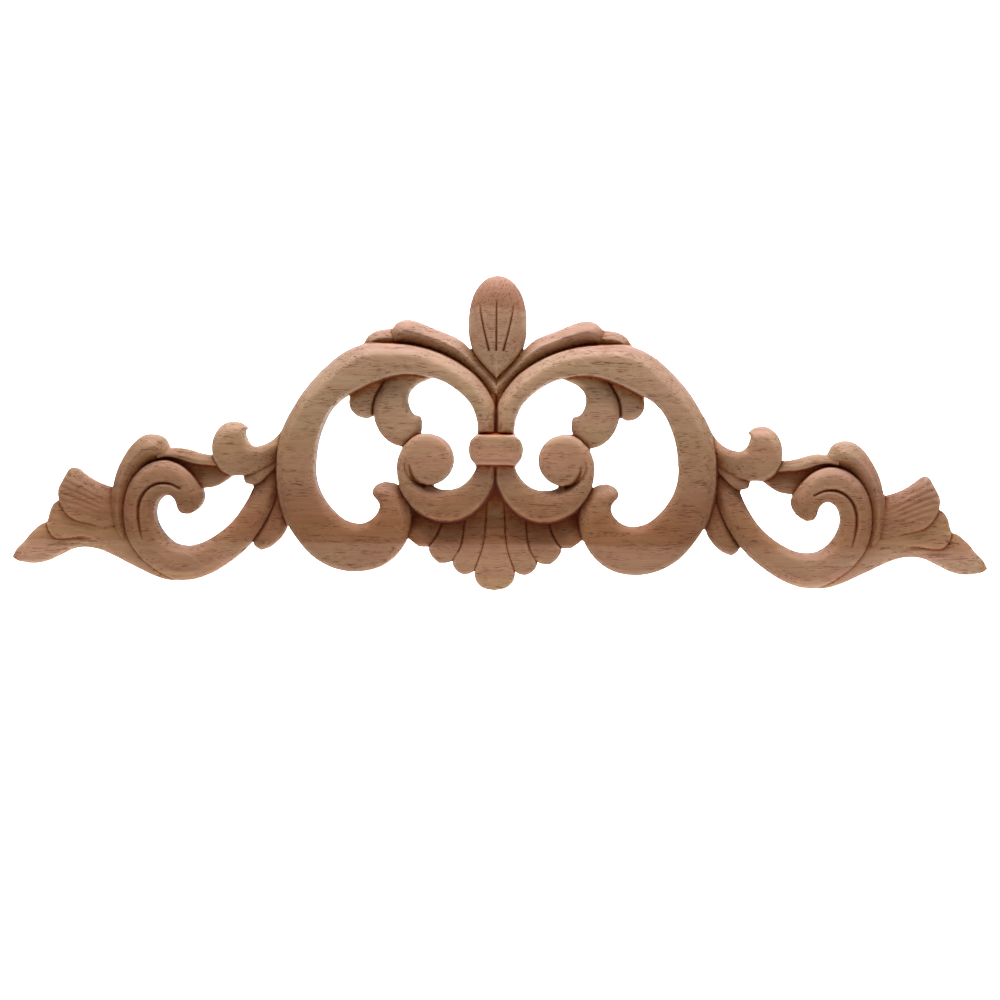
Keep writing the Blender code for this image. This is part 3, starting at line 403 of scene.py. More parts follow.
stemLeaf = [
    (112.4, -14, 109.5, -14, 7.6, 3.5, 3.5),
    (113, -24, 109.2, -24, 8.4, 3.5, 3.5),
    (115.2, -31.4, 107.6, -31, 9.6, 3.8, 3.8),
    (118.2, -37.8, 106.6, -37, 10.4, 4.4, 4.4),
    (121.6, -43.4, 108.4, -43, 10.8, 4.8, 4.8),
    (124.2, -47.6, 112.2, -48.2, 10.8, 4.8, 4.8),
    (123.7, -50.6, 116.4, -51.4, 10.6, 4.4, 4.4),
    (120.5, -52.9, 120.5, -52.9, 10.4, 4.0, 4.0),
]

# Low wood left between the leaves

wingGround = [
    (155, -4, 153, -17, 7.2, 1.0, 1.0),
    (163, -4, 162, -14, 7.2, 1.0, 1.0),
    (171, -3, 169, -12, 7.2, 1.0, 1.0),
    (179, -2, 176, -13, 7.2, 1.0, 1.0),
    (186, -7, 181, -17, 7.2, 1.0, 1.0),
    (191.5, -15, 185, -22, 7.2, 1.0, 1.0),
    (194, -25, 187, -28, 7.2, 1.0, 1.0),
    (194.5, -35, 187, -35, 7.2, 1.0, 1.0),
    (193, -44, 186, -44, 7.6, 1.0, 1.0),
    (190, -52, 184, -50, 8.0, 1.0, 1.0),
]

centreGround = acrossMiddle([
    (5, 42, 9.5, 1.0),
    (3, 30, 10.5, 1.0),
    (3, 10, 11.0, 1.0),
    (5, -10, 7.0, 1.0),
    (6, -20, 6.5, 1.0),
])

# How each strip is cut: ribs, fall per millimetre of bevel at A and at B, whether its bevels are domed
strips = [
    (wingGround, 0.5, 0.5, False),
    (centreGround, 0.5, 0.5, False),
    (shellRayOuter, 0.55, 0.55, True),
    (shellRayMiddle, 0.55, 0.55, True),
    (shellRayInner, 0.55, 0.55, True),
    (shellCentre, 0.55, 0.55, True),
    (bridgeLeaf, 0.16, 0.16, False),
    (bridgeRib, 0.6, 0.6, False),
    (stemLeaf, 0.8, 0.8, True),
    (tailTip, 0.6, 0.6, False),
    (tailMiddle, 0.6, 0.6, False),
    (tailTop, 0.6, 0.6, False),
    (hookUnderleaf, 0.7, 0.7, False),
    (wingScroll, 0.8, 0.8, False),
    (curlLeaf, 0.75, 0.8, False),
    (hookLeaf, 0.8, 0.8, False),
    (crestUnderleaf, 0.75, 0.75, False),
    (crestLeaf, 0.85, 0.85, False),
    (innerUnderleaf, 0.7, 0.7, False),
    (innerLeaf, 0.8, 0.8, False),
    (volute, 0.8, 0.5, False),
    (mainScroll, 0.9, 0.9, False),
    (knot, 0.42, 0.42, True),
    (bud, 0.62, 0.62, True),
]

# V-cuts along a path: out, up, depth, half width
cuts = [
    [(0, 75.5, 0.2, 0.4), (0, 70, 0.8, 0.55), (0, 60, 1.2, 0.75), (0, 50.4, 1.5, 0.85)],
    [(8.7, 74, 0.2, 0.4), (8, 69, 0.8, 0.55), (5.9, 59, 1.2, 0.75), (3.7, 50.4, 1.5, 0.85)],
    [(0, 28, 0.8, 1.0), (0, 22, 2.2, 1.6), (0, 9, 2.4, 1.4)],
    [(0, 7.9, 1.8, 1.0), (8.0, 7.9, 1.8, 1.0), (9.6, 8.0, 0.6, 0.6)],
    [(0, -9, 1.8, 1.4), (0, -14, 2.0, 1.4), (0, -19, 0.6, 1.0)],
    [
        (43.8, -8.4, 0.1, 0.6),
        (43.4, -11, 1.2, 1.2),
        (42.4, -13.8, 2.2, 1.8),
        (40, -16.8, 2.4, 2.0),
        (36.5, -18.6, 2.0, 1.8),
    ],
    [
        (57.4, 34.8, 1.4, 1.2),
        (59.4, 31, 1.6, 1.0),
        (61.8, 27, 1.6, 1.0),
        (63.2, 22, 1.4, 1.0),
        (63.3, 18, 1.0, 1.0),
    ],
    [
        (161.8, -21.6, 1.0, 0.9),
        (166.5, -19.4, 1.6, 1.1),
        (172.5, -19.1, 1.9, 1.2),
        (177.3, -21.1, 1.9, 1.2),
        (181, -25.3, 1.9, 1.2),
        (182.8, -30, 1.9, 1.2),
        (183.1, -36.1, 1.7, 1.2),
        (182.3, -42.1, 1.2, 1.1),
        (180.8, -48.1, 0.2, 0.8),
    ],
]


def along(rows, step):
    # smooth curve through rows of numbers, resampled about every step
    rows = np.array(rows, dtype=float)
    moves = np.diff(rows, axis=0)
    gaps = np.hypot(moves[:, 0], moves[:, 1])
    if rows.shape[1] > 4:
        gaps = np.maximum(gaps, np.hypot(moves[:, 2], moves[:, 3]))
    rates = moves / gaps[:, None]
    both = (gaps[:-1] + gaps[1:])[:, None]
    inner = (rates[:-1] * gaps[1:, None] + rates[1:] * gaps[:-1, None]) / both
    slopes = np.vstack([rates[:1], inner, rates[-1:]])
    points = []
    for index, gap in enumerate(gaps):
        count = max(1, int(np.ceil(gap / step)))
        for t in np.arange(count) / count:
            a, b = (1 + 2 * t) * (1 - t) ** 2, t * (1 - t) ** 2 * gap
            c, d = t * t * (3 - 2 * t), t * t * (t - 1) * gap
            start = a * rows[index] + b * slopes[index]
            points.append(start + c * rows[index + 1] + d * slopes[index + 1])
    points.append(rows[-1])
    return np.array(points)


def toPieces(points, line):
    # distance from every point to every straight piece of a line, and how far along that piece
    start = line[:-1, :2]
    step = line[1:, :2] - start
    offset = points[:, None, :] - start[None, :, :]
    share = (offset * step[None]).sum(axis=2) / (step ** 2).sum(axis=1)[None]
    share = np.clip(share, 0, 1)
    gap = offset - share[:, :, None] * step[None]
    return np.hypot(gap[:, :, 0], gap[:, :, 1]), share


def toEdge(points, line, values, floor=4.0):
    # distance to a line, with the values it carries blended from its nearest parts
    distance, share = toPieces(points, line)
    weight = 1 / (distance ** 2 + floor) ** 2
    here = values[:-1][None] + share[:, :, None] * np.diff(values, axis=0)[None]
    blend = (here * weight[:, :, None]).sum(axis=1) / weight.sum(axis=1)[:, None]
    return distance.min(axis=1), blend, weight.sum(axis=1)


def enclosed(points, start, end):
    # whether each point lies inside the outline made by the straight pieces start to end
    above = (start[None, :, 1] > points[:, None, 1]) != (end[None, :, 1] > points[:, None, 1])
    rise = end[:, 1] - start[:, 1]
    rise = np.where(rise == 0, 1, rise)
    ratio = (points[:, None, 1] - start[None, :, 1]) / rise[None]
    cross = start[None, :, 0] + ratio * (end - start)[None, :, 0]
    hits = above & (points[:, None, 0] < cross)
    return hits.sum(axis=1) % 2 == 1


def fall(distance, width, rate, rounded):
    # how far a strip's face has dropped at a distance inside one of its edges
    if rounded:
        share = np.clip(1 - distance / width, 0, 1)
        drop = rate * width * (1 - np.sqrt(1 - share ** 2))
    else:
        over = width - np.maximum(distance, 0)
        soft = carvingOptions["ridgeSoftness"]
        drop = rate * (over + np.sqrt(over ** 2 + soft ** 2)) / 2
    return drop + carvingOptions["wallSlope"] * np.maximum(-distance, 0)


def stripRelief(points, rows, rateA, rateB, rounded):
    # height and signed distance inside the outline of one strip
    lineA, lineB = rows[:, 0:2], rows[:, 2:4]
    keepA = np.append(True, np.hypot(*np.diff(lineA, axis=0).T) > tiny)
    keepB = np.append(True, np.hypot(*np.diff(lineB, axis=0).T) > tiny)
    farA, valuesA, weightA = toEdge(points, lineA[keepA], rows[keepA][:, [4, 5]])
    farB, valuesB, weightB = toEdge(points, lineB[keepB], rows[keepB][:, [4, 6]])
    outline = np.vstack([lineA[keepA], lineB[keepB][::-1]])
    inside = enclosed(points, outline, np.roll(outline, -1, axis=0))
    near = np.minimum(farA, farB)
    root = np.vstack([lineA[:1], lineB[:1]])
    if np.hypot(*(root[1] - root[0])) > tiny:
        near = np.minimum(near, toPieces(points, root)[0][:, 0])
    signed = np.where(inside, near, -near)
    innerA = np.where(inside | (farB < farA), farA, -near)
    innerB = np.where(inside | (farA <= farB), farB, -near)
    share = weightA / (weightA + weightB)
    face = share * valuesA[:, 0] + (1 - share) * valuesB[:, 0]
    dropA = fall(innerA, valuesA[:, 1], rateA, rounded)
    dropB = fall(innerB, valuesB[:, 1], rateB, rounded)
    return face - np.maximum(dropA, dropB), signed


def bossRelief(points):
    # height and signed distance of the round boss that ends the small scroll
    radius = np.hypot(points[:, 0] - voluteBoss["out"], points[:, 1] - voluteBoss["up"])
    signed = voluteBoss["radius"] - radius
    return voluteBoss["face"] - fall(signed, voluteBoss["bevel"], voluteBoss["rate"], True), signed


def cutDepth(points, rows):
    # how deep a V-cut is at each point
    distance, values, _ = toEdge(points, rows[:, :2], rows[:, 2:4])
    return values[:, 0] * np.clip(1 - distance / values[:, 1], 0, 1)


def joined(one, two):
    # signed distance inside either of two outlines, with narrow slits between them filled
    slit = carvingOptions["slit"]
    near = np.clip(1 - np.abs(one - two) / slit, 0, 1)
    return np.maximum(one, two) + near ** 2 * slit / 4


def closeTo(points, rows, reach=3.0):
    # the points in the box round a strip or a cut, which are the only ones that it changes
    xs = rows[:, [0, 2]] if rows.shape[1] > 4 else rows[:, [0]]
    zs = rows[:, [1, 3]] if rows.shape[1] > 4 else rows[:, [1]]
    wide = (points[:, 0] > xs.min() - reach) & (points[:, 0] < xs.max() + reach)
    return wide & (points[:, 1] > zs.min() - reach) & (points[:, 1] < zs.max() + reach)


stripRows = [(along(ribs, carvingOptions["ribStep"]), *cut) for ribs, *cut in strips]
cutRows = [along(path, carvingOptions["ribStep"]) for path in cuts]


def relief(points, batch=6000):
    # height of the carved front above the back, and signed distance inside the outline
    height = np.full(len(points), farBelow)
    cover = np.full(len(points), farBelow)
    for rows, rateA, rateB, rounded in stripRows:
        close = np.flatnonzero(closeTo(points, rows))
        for first in range(0, len(close), batch):
            part = close[first:first + batch]
            face, signed = stripRelief(points[part], rows, rateA, rateB, rounded)
            height[part] = np.maximum(height[part], face)
            cover[part] = joined(cover[part], signed)
    face, signed = bossRelief(points)
    height = np.maximum(height, face)
    cover = joined(cover, signed)
    for rows in cutRows:
        close = np.flatnonzero(closeTo(points, rows))
        for first in range(0, len(close), batch):
            part = close[first:first + batch]
            height[part] -= cutDepth(points[part], rows)
    rim = np.clip(1 - cover / carvingOptions["rimRadius"], 0, 1)
    height -= carvingOptions["rimRadius"] * (1 - np.sqrt(1 - rim ** 2))
    return np.maximum(height, carvingOptions["leastThickness"]), cover


def waver(points):
    # shallow unevenness left by gouge and sanding, from waves whose lengths don't line up
    out, up = points[:, 0], points[:, 1]
    slow = np.sin(out / 3.1 + np.sin(up / 4.7) * 1.6) * np.sin(up / 2.7 + np.sin(out / 6.3) * 1.9)
    quick = np.sin(out / 1.3 + up / 1.9 + 2 * np.sin(out / 5.9)) * np.sin(up / 0.9 - out / 4.1)
    return carvingOptions["slowWaver"] * slow + carvingOptions["quickWaver"] * quick


fluteOptions = {
    "root": (140, -55),      # where the fan of lines would meet: out, up
    "turn": 2.3,             # degrees from one line to the next
    "depth": 0.26,
    "start": (199, 6),       # out, and the length over which they deepen
    "end": (240, 14),        # out, and the length over which they fade
}


def flutes(points):
    # shallow gouge lines that fan out along the tail, in millimetres deep
    out, up = points[:, 0], points[:, 1]
    rootOut, rootUp = fluteOptions["root"]
    start, deepen = fluteOptions["start"]
    end, fade = fluteOptions["end"]
    angle = np.arctan2(up - rootUp, out - rootOut)
    phase = angle / math.radians(fluteOptions["turn"]) * 2 * math.pi
    phase = phase + 0.9 * np.sin(out / 6) + 1.2 * np.sin(angle * 17)      # so that they don't run too evenly
    reach = np.clip((out - start) / deepen, 0, 1) * np.clip((end - out) / fade, 0, 1)
    return fluteOptions["depth"] * reach * (0.5 - 0.5 * np.cos(phase)) ** 2


def halfSurface():
    # triangles of one half of the front, clipped to the outline
    grid = carvingOptions["grid"]
    xs = np.arange(0, carvingOptions["halfLength"] + 2 * grid, grid)
    zs = np.arange(carvingOptions["bottom"], carvingOptions["top"], grid)
    lattice = np.stack(np.meshgrid(xs, zs, indexing="ij"), axis=2).reshape(-1, 2)
    height, cover = relief(lattice)
    bend = bends(np.where(cover > 0, height, 0).reshape(len(xs), len(zs)), grid)
    least = carvingOptions["sliver"] * grid
    cover = np.where(np.abs(cover) < least, least, cover)
    count = len(zs)
    first = (np.arange(len(xs) - 1)[:, None] * count + np.arange(count - 1)[None]).ravel()
    flip = (np.arange(len(xs) - 1)[:, None] + np.arange(count - 1)[None]).ravel() % 2 == 0
    a, b, c, d = first, first + count, first + count + 1, first + 1
    one = np.where(flip[:, None], np.stack([a, b, c], 1), np.stack([a, b, d], 1))
    two = np.where(flip[:, None], np.stack([a, c, d], 1), np.stack([b, c, d], 1))
    triangles = np.vstack([one, two])
    inside = cover[triangles] > 0
    total = inside.sum(axis=1)
    whole = triangles[total == 3]
    clipped = []
    for single in (True, False):
        group = triangles[total == (1 if single else 2)]
        flags = inside[total == (1 if single else 2)]
        turn = np.argmax(flags if single else ~flags, axis=1)
        index = (turn[:, None] + np.arange(3)[None]) % 3
        clipped.append(np.take_along_axis(group, index, axis=1))
    lone, pair = clipped
    crossed = np.vstack([lone[:, [0, 1]], lone[:, [0, 2]], pair[:, [1, 0]], pair[:, [2, 0]]])
    keys, place = np.unique(crossed, axis=0, return_inverse=True)
    place = place.ravel() + len(lattice)
    share = cover[keys[:, 0]] / (cover[keys[:, 0]] - cover[keys[:, 1]])
    border = lattice[keys[:, 0]] + share[:, None] * (lattice[keys[:, 1]] - lattice[keys[:, 0]])
    n, m = len(lone), len(pair)
    p, q = place[:n], place[n:2 * n]
    r, s = place[2 * n:2 * n + m], place[2 * n + m:]
    faces = np.vstack([
        whole,
        np.stack([lone[:, 0], p, q], 1),
        np.stack([pair[:, 1], pair[:, 2], s], 1),
        np.stack([pair[:, 1], s, r], 1),
    ])
    borderHeight, _ = relief(border)
    points = np.vstack([lattice, border])
    height = np.append(height, borderHeight) + waver(points) - flutes(points)
    bend = np.append(bend.ravel(), bend.ravel()[keys[:, 0]])
    used, faces = np.unique(faces, return_inverse=True)
    thick = np.clip(height[used], carvingOptions["leastThickness"], carvingOptions["thickness"])
    print("front of one half:", len(used), "points before thinning")
    return np.column_stack([points[used], thick]), faces.reshape(-1, 3), bend[used]


bendOptions = {
    "reaches": (0.45, 0.9, 1.4, 2.1, 3.2, 5.0, 7.5),      # how far off higher wood is looked for
    "ridgeReach": 1.4,       # the one of these that finds ridges
    "ridgeShare": 0.5,       # how much a ridge counts beside a hollow
    "turns": 12,             # directions looked in
    "steepest": 2,           # a point's own slope counts as no steeper
    "overlap": 8,            # width of the other half that is taken in
}


def bends(height, grid):
    # how far wood rises round each point above its own slope: above 0 in hollows, below 0 on ridges
    border = int(bendOptions["overlap"] / grid)
    height = np.vstack([height[border:0:-1], height])      # the other half, across the centre line
    slopes = np.clip(np.gradient(height, grid), -bendOptions["steepest"], bendOptions["steepest"])
    turns = bendOptions["turns"]
    hollow, ridge = np.zeros_like(height), np.zeros_like(height)
    for turn in range(turns):
        angle = 2 * math.pi * turn / turns
        steepest = np.zeros_like(height)
        for reach in bendOptions["reaches"]:
            dx = int(round(math.cos(angle) * reach / grid))
            dz = int(round(math.sin(angle) * reach / grid))
            level = height - (slopes[0] * dx + slopes[1] * dz) * grid
            rise = (np.roll(np.roll(height, dx, axis=0), dz, axis=1) - level) / reach
            steepest = np.maximum(steepest, rise)
            if reach == bendOptions["ridgeReach"]:
                ridge += np.clip(-rise, 0, 1)
        hollow += steepest / np.sqrt(1 + steepest ** 2)
    return ((hollow - bendOptions["ridgeShare"] * ridge) / turns)[border:]


def makeMesh(name, corners, faces):
    mesh = bpy.data.meshes.new(name)
    mesh.from_pydata(corners.tolist(), [], faces.tolist())
    mesh.update()
    return mesh


def openEdges(faces):
    # edges with a face on one side only, directed as their face runs
    pairs = np.vstack([faces[:, [0, 1]], faces[:, [1, 2]], faces[:, [2, 0]]])
    key = pairs[:, 0] * (faces.max() + 1) + pairs[:, 1]
    back = pairs[:, 1] * (faces.max() + 1) + pairs[:, 0]
    return pairs[~np.isin(key, back)]


def filled(points, outline):
    # triangles that fill an outline whose straight pieces run with the wood on their left
    flat = [Vector(point) for point in points.tolist()]
    result = delaunay_2d_cdt(flat, outline.tolist(), [], 0, tiny)
    where = [origin[0] for origin in result[3]]
    triangles = [[where[corner] for corner in face] for face in result[2]]
    owner = {}
    for index, (a, b, c) in enumerate(triangles):
        owner[a, b] = owner[b, c] = owner[c, a] = index
    border = [tuple(pair) for pair in outline.tolist()]
    waiting = [owner[pair] for pair in border]
    inside = set(waiting)
    border = set(border)
    while waiting:
        a, b, c = triangles[waiting.pop()]
        for pair in ((a, b), (b, c), (c, a)):
            other = owner.get((pair[1], pair[0]))
            if pair not in border and other is not None and other not in inside:
                inside.add(other)
                waiting.append(other)
    return np.array([triangles[index] for index in sorted(inside)])


def closedHalf(corners, faces, bend):
    # walls and flat back under the front, open at the centre plane
    edges = openEdges(faces)
    edges = edges[(corners[edges, 0] > 0).any(axis=1)]
    border, place = np.unique(edges, return_inverse=True)
    place = place.reshape(-1, 2)
    base = corners[border].copy()
    base[:, 2] = 0
    low = place + len(corners)
    walls = np.vstack([
        np.column_stack([edges[:, 1], edges[:, 0], low[:, 0]]),
        np.column_stack([edges[:, 1], low[:, 0], low[:, 1]]),
    ])
    ends = np.flatnonzero(base[:, 0] == 0)
    ends = ends[np.argsort(base[ends, 1])]
    outline = np.vstack([place, ends.reshape(-1, 2)[:, ::-1]])
    back = filled(base[:, :2], outline)[:, ::-1] + len(corners)
    allCorners = np.vstack([corners, base])
    return allCorners, np.vstack([faces, walls, back]), np.append(bend, np.zeros(len(border)))


def thinned(corners, faces, bend, target):
    # the same surface with fewer faces, kept finest along creases
    body = bpy.data.objects.new("thinning", makeMesh("thinning", corners, faces))
    layer = body.data.attributes.new("bend", "FLOAT", "POINT")
    layer.data.foreach_set("value", bend)
    bpy.context.scene.collection.objects.link(body)
    thin = body.modifiers.new("thin", "DECIMATE")
    thin.ratio = min(1, target / len(faces))
    thin.use_collapse_triangulate = True
    result = body.evaluated_get(bpy.context.evaluated_depsgraph_get()).to_mesh()
    newCorners = np.empty(len(result.vertices) * 3)
    result.vertices.foreach_get("co", newCorners)
    newFaces = np.empty(len(result.loops), dtype=int)
    result.loops.foreach_get("vertex_index", newFaces)
    newBend = np.empty(len(result.vertices))
    result.attributes["bend"].data.foreach_get("value", newBend)
    bpy.data.objects.remove(body)
    return newCorners.reshape(-1, 3), newFaces.reshape(-1, 3), newBend


def mirrored(corners, faces, bend):
    # both halves, sharing the corners on the centre plane, with the back made truly flat
    corners = corners.copy()
    corners[np.abs(corners[:, 2]) < carvingOptions["flatBack"], 2] = 0
    middle = np.isin(np.arange(len(corners)), openEdges(faces))
    corners[middle, 0] = 0
    side = np.flatnonzero(~middle)
    twin = np.arange(len(corners))
    twin[side] = len(corners) + np.arange(len(side))
    other = corners[side] * [-1, 1, 1]
    return np.vstack([corners, other]), np.vstack([faces, twin[faces][:, ::-1]]), np.append(bend, bend[side])


# Shader maths as Python expressions

class Flow:
    # wraps a socket, so that an expression on values adds its Math nodes
    def __init__(self, tree, socket=None):
        self.tree, self.socket = tree, socket

    def node(self, kind, settings, inputs, output=0):
        made = self.tree.nodes.new(kind)
        for name, value in settings.items():
            if name == "stops":
                ramp = made.color_ramp.elements
                while len(ramp) < len(value):
                    ramp.new(0.5)
                for stop, (place, colour) in zip(ramp, value):
                    stop.position = place
                    stop.color = colour
            else:
                setattr(made, name, value)
        for name, value in inputs.items():
            if isinstance(value, Flow):
                self.tree.links.new(value.socket, made.inputs[name])
            else:
                made.inputs[name].default_value = value
        return Flow(self.tree, made.outputs[output])

    def maths(self, operation, a, b=0.0):
        return self.node("ShaderNodeMath", {"operation": operation}, {0: a, 1: b})

    def __add__(self, other):
        return self.maths("ADD", self, other)

    def __radd__(self, other):
        return self.maths("ADD", other, self)

    def __sub__(self, other):
        return self.maths("SUBTRACT", self, other)

    def __rsub__(self, other):
        return self.maths("SUBTRACT", other, self)

    def __mul__(self, other):
        return self.maths("MULTIPLY", self, other)

    def __rmul__(self, other):
        return self.maths("MULTIPLY", other, self)

    def __truediv__(self, other):
        return self.maths("DIVIDE", self, other)

    def __rtruediv__(self, other):
        return self.maths("DIVIDE", other, self)

    def between(self, low, high):
        # 0 below low, 1 above high, with a soft step from one to the other
        return self.node("ShaderNodeMapRange", {"interpolation_type": "SMOOTHSTEP"},
                         {"Value": self, "From Min": low, "From Max": high})

    def stretched(self, scale):
        return self.node("ShaderNodeVectorMath", {"operation": "MULTIPLY"}, {0: self, 1: scale})

    def noise(self, scale, detail=2.0, rough=0.5):
        return self.node("ShaderNodeTexNoise", {}, {"Vector": self.stretched(scale), "Scale": 1.0,
                                                    "Detail": detail, "Roughness": rough})

    def mixed(self, other, share):
        # this colour with a share of another laid over it
        return self.node("ShaderNodeMix", {"data_type": "RGBA"}, {0: share, 6: self, 7: other}, 2)

    def tinted(self, colour, share):
        # this colour with a share of another multiplied in
        return self.node("ShaderNodeMix", {"data_type": "RGBA", "blend_type": "MULTIPLY"},
                         {0: share, 6: self, 7: colour}, 2)


woodOptions = {
    "tan": (0.42, 0.229, 0.133, 1),
    "pink": (0.43, 0.214, 0.134, 1),
    "olive": (0.40, 0.242, 0.134, 1),
    "streak": (0.78, 0.70, 0.65, 1),       # multiplied in along the darker grain
    "fibre": (0.80, 0.75, 0.71, 1),        # multiplied in along the finest fibres
    "pore": (0.50, 0.34, 0.24, 1),         # multiplied in along the pores
    "cap": (0.84, 0.68, 0.62, 1),          # end grain at the top of the bud
    "shade": (0.70, 0.47, 0.21, 1),        # multiplied in low beside higher wood
    "hollow": (0.76, 0.37, 0.07, 1),       # painted shade, multiplied in down the narrow grooves
    "undercut": (0.66, 0.58, 0.46, 1),     # painted shade, multiplied in on walls that face down into a groove
    "ridge": (1.12, 1.20, 1.34, 1),        # painted highlight, multiplied in along the edges of ridges
    "dust": (1.06, 1.11, 1.40, 1),         # painted highlight: a paler, bluer tone multiplied in on slopes that face up to the lamp above
    "scratch": (1.22, 1.28, 1.30, 1),      # multiplied in along the marks of coarse sandpaper
    "scratchLean": 34,                     # degrees that they fall to the right
    "boards": [                            # height in metres, tone multiplied in
        (-0.071, (1.10, 1.16, 1.06, 1)),
        (-0.0652, (1.06, 1.10, 1.02, 1)),
        (-0.0644, (0.97, 0.94, 0.92, 1)),
        (-0.056, (0.98, 0.96, 0.94, 1)),
        (-0.0486, (0.91, 0.86, 0.80, 1)),
        (-0.0480, (0.82, 0.70, 0.57, 1)),
        (-0.040, (0.79, 0.66, 0.51, 1)),
        (-0.0244, (0.79, 0.70, 0.57, 1)),
        (-0.0238, (0.83, 0.76, 0.67, 1)),
        (-0.012, (0.94, 0.95, 0.88, 1)),
        (0.0, (1.03, 1.08, 1.0, 1)),
        (0.012, (1.10, 1.21, 1.19, 1)),
        (0.035, (1.12, 1.25, 1.28, 1)),
        (0.060, (1.04, 1.12, 1.14, 1)),
        (0.090, (1.02, 1.08, 1.18, 1)),
    ],
    "lengths": [                           # metres across, tone multiplied in; the darker stops near 0.118 are painted shade beside the main scroll's outer edge
        (-0.25, (0.92, 0.93, 0.95, 1)),
        (-0.205, (0.84, 0.80, 0.76, 1)),
        (-0.165, (0.84, 0.81, 0.76, 1)),
        (-0.14, (0.96, 0.96, 0.93, 1)),
        (-0.118, (0.82, 0.78, 0.73, 1)),
        (-0.095, (0.90, 0.91, 0.89, 1)),
        (-0.055, (0.95, 0.95, 0.94, 1)),
        (0.0, (1.04, 1.04, 1.03, 1)),
        (0.055, (0.98, 0.98, 0.98, 1)),
        (0.095, (0.91, 0.92, 0.91, 1)),
        (0.118, (0.81, 0.78, 0.73, 1)),
        (0.14, (0.98, 0.97, 0.95, 1)),
        (0.165, (1.02, 1.06, 1.06, 1)),
        (0.195, (0.94, 0.94, 0.98, 1)),
        (0.25, (0.88, 0.90, 0.94, 1)),
    ],
    "tail": (1.42, 1.60, 1.66, 1),         # paler wood at the lower wing tips
    "lowBoardAndShade": (0.90, 0.84, 0.74, 1),     # darker board across the shell and the feet of the scrolls, together with painted shade under the small scrolls
    "noise": {               # waves per metre along X, Y and Z, detail, and a roughness other than 0.5
        "broad": ((7, 30, 34), 3.0),              # drift from tan to pink
        "patch": ((16, 60, 75), 3.0),             # where the wood turns olive
        "grain": ((22, 500, 620), 4.0, 0.6),
        "fine": ((60, 1500, 1900), 3.0, 0.6),
        "poreGate": ((45, 220, 260), 2.0),        # where pores gather
        "pores": ((300, 2100, 2600), 1.0),
        "dashes": ((170, 1500, 1800), 0.0),       # longer and rarer pores
        "scratches": ((30, 260, 1500), 0.0),
        "scratchGate": ((14, 14, 22), 0.0),       # where scratches gather
        "specks": ((1100, 1100, 1100), 1.0),      # pores cut across, in the end grain
    },
    "mask": {                # the values at which each mask starts and is full
        "front": (0.04, 0.16),
        "broad": (0.36, 0.64),
        "patch": (0.42, 0.66),
        "grain": (0.28, 0.72),
        "fine": (0.48, 0.70),
        "poreGate": (0.40, 0.58),
        "pores": (0.57, 0.66),
        "dashes": (0.64, 0.70),
        "scratches": (0.66, 0.74),
        "scratchGate": (0.50, 0.60),
        "specks": (0.56, 0.66),
        "cap": (0.0705, 0.0725),      # metres above the knot
        "tail": (0.236, 0.268),       # metres out, less the lean times the metres up
        "lowBoardEnd": (0, 0.02),     # metres inward from the board's reach
        "lowBoardTop": (0.030, 0.038),      # metres below the knot
        "lowBoardFoot": (-0.0486, -0.048),      # metres above it
        "dust": (0.05, 0.85),
        "ridge": (0.01, 0.14),
        "shade": (0.05, 0.38),
        "hollow": (0.34, 0.60),
        "groove": (0.22, 0.46),
        "overhang": (0.1, 0.6),
    },
    # share of each tint that is laid on, and how far the drift moves each border
    "strength": {"olive": 0.6, "streak": 0.6, "fibre": 0.55, "scratch": 0.7, "pore": 0.75, "speck": 0.7},
    "wander": {"cap": 0.003, "boards": 0.004, "lengths": 0.02, "tail": 0.008},
    "tailLean": 1.2,         # metres that the pale tail's border moves out for each metre up
    "lowBoardReach": 0.112,      # metres from the middle
    "roughness": 0.66,
    "streakRoughness": 0.08,
    "poreRoughness": 0.1,
    "relief": {"grain": 0.6, "fine": 0.3, "pores": 0.7},      # height of each in the bump
    "bump": 0.4,
    "bumpDepth": 0.00025,      # metres
    "ior": 1.36,
    "sheen": 0.05,
    "sheenRoughness": 0.4,
}


def gate(place, name):
    # one of the wood's noises as a mask
    return place.noise(*woodOptions["noise"][name]).between(*woodOptions["mask"][name])


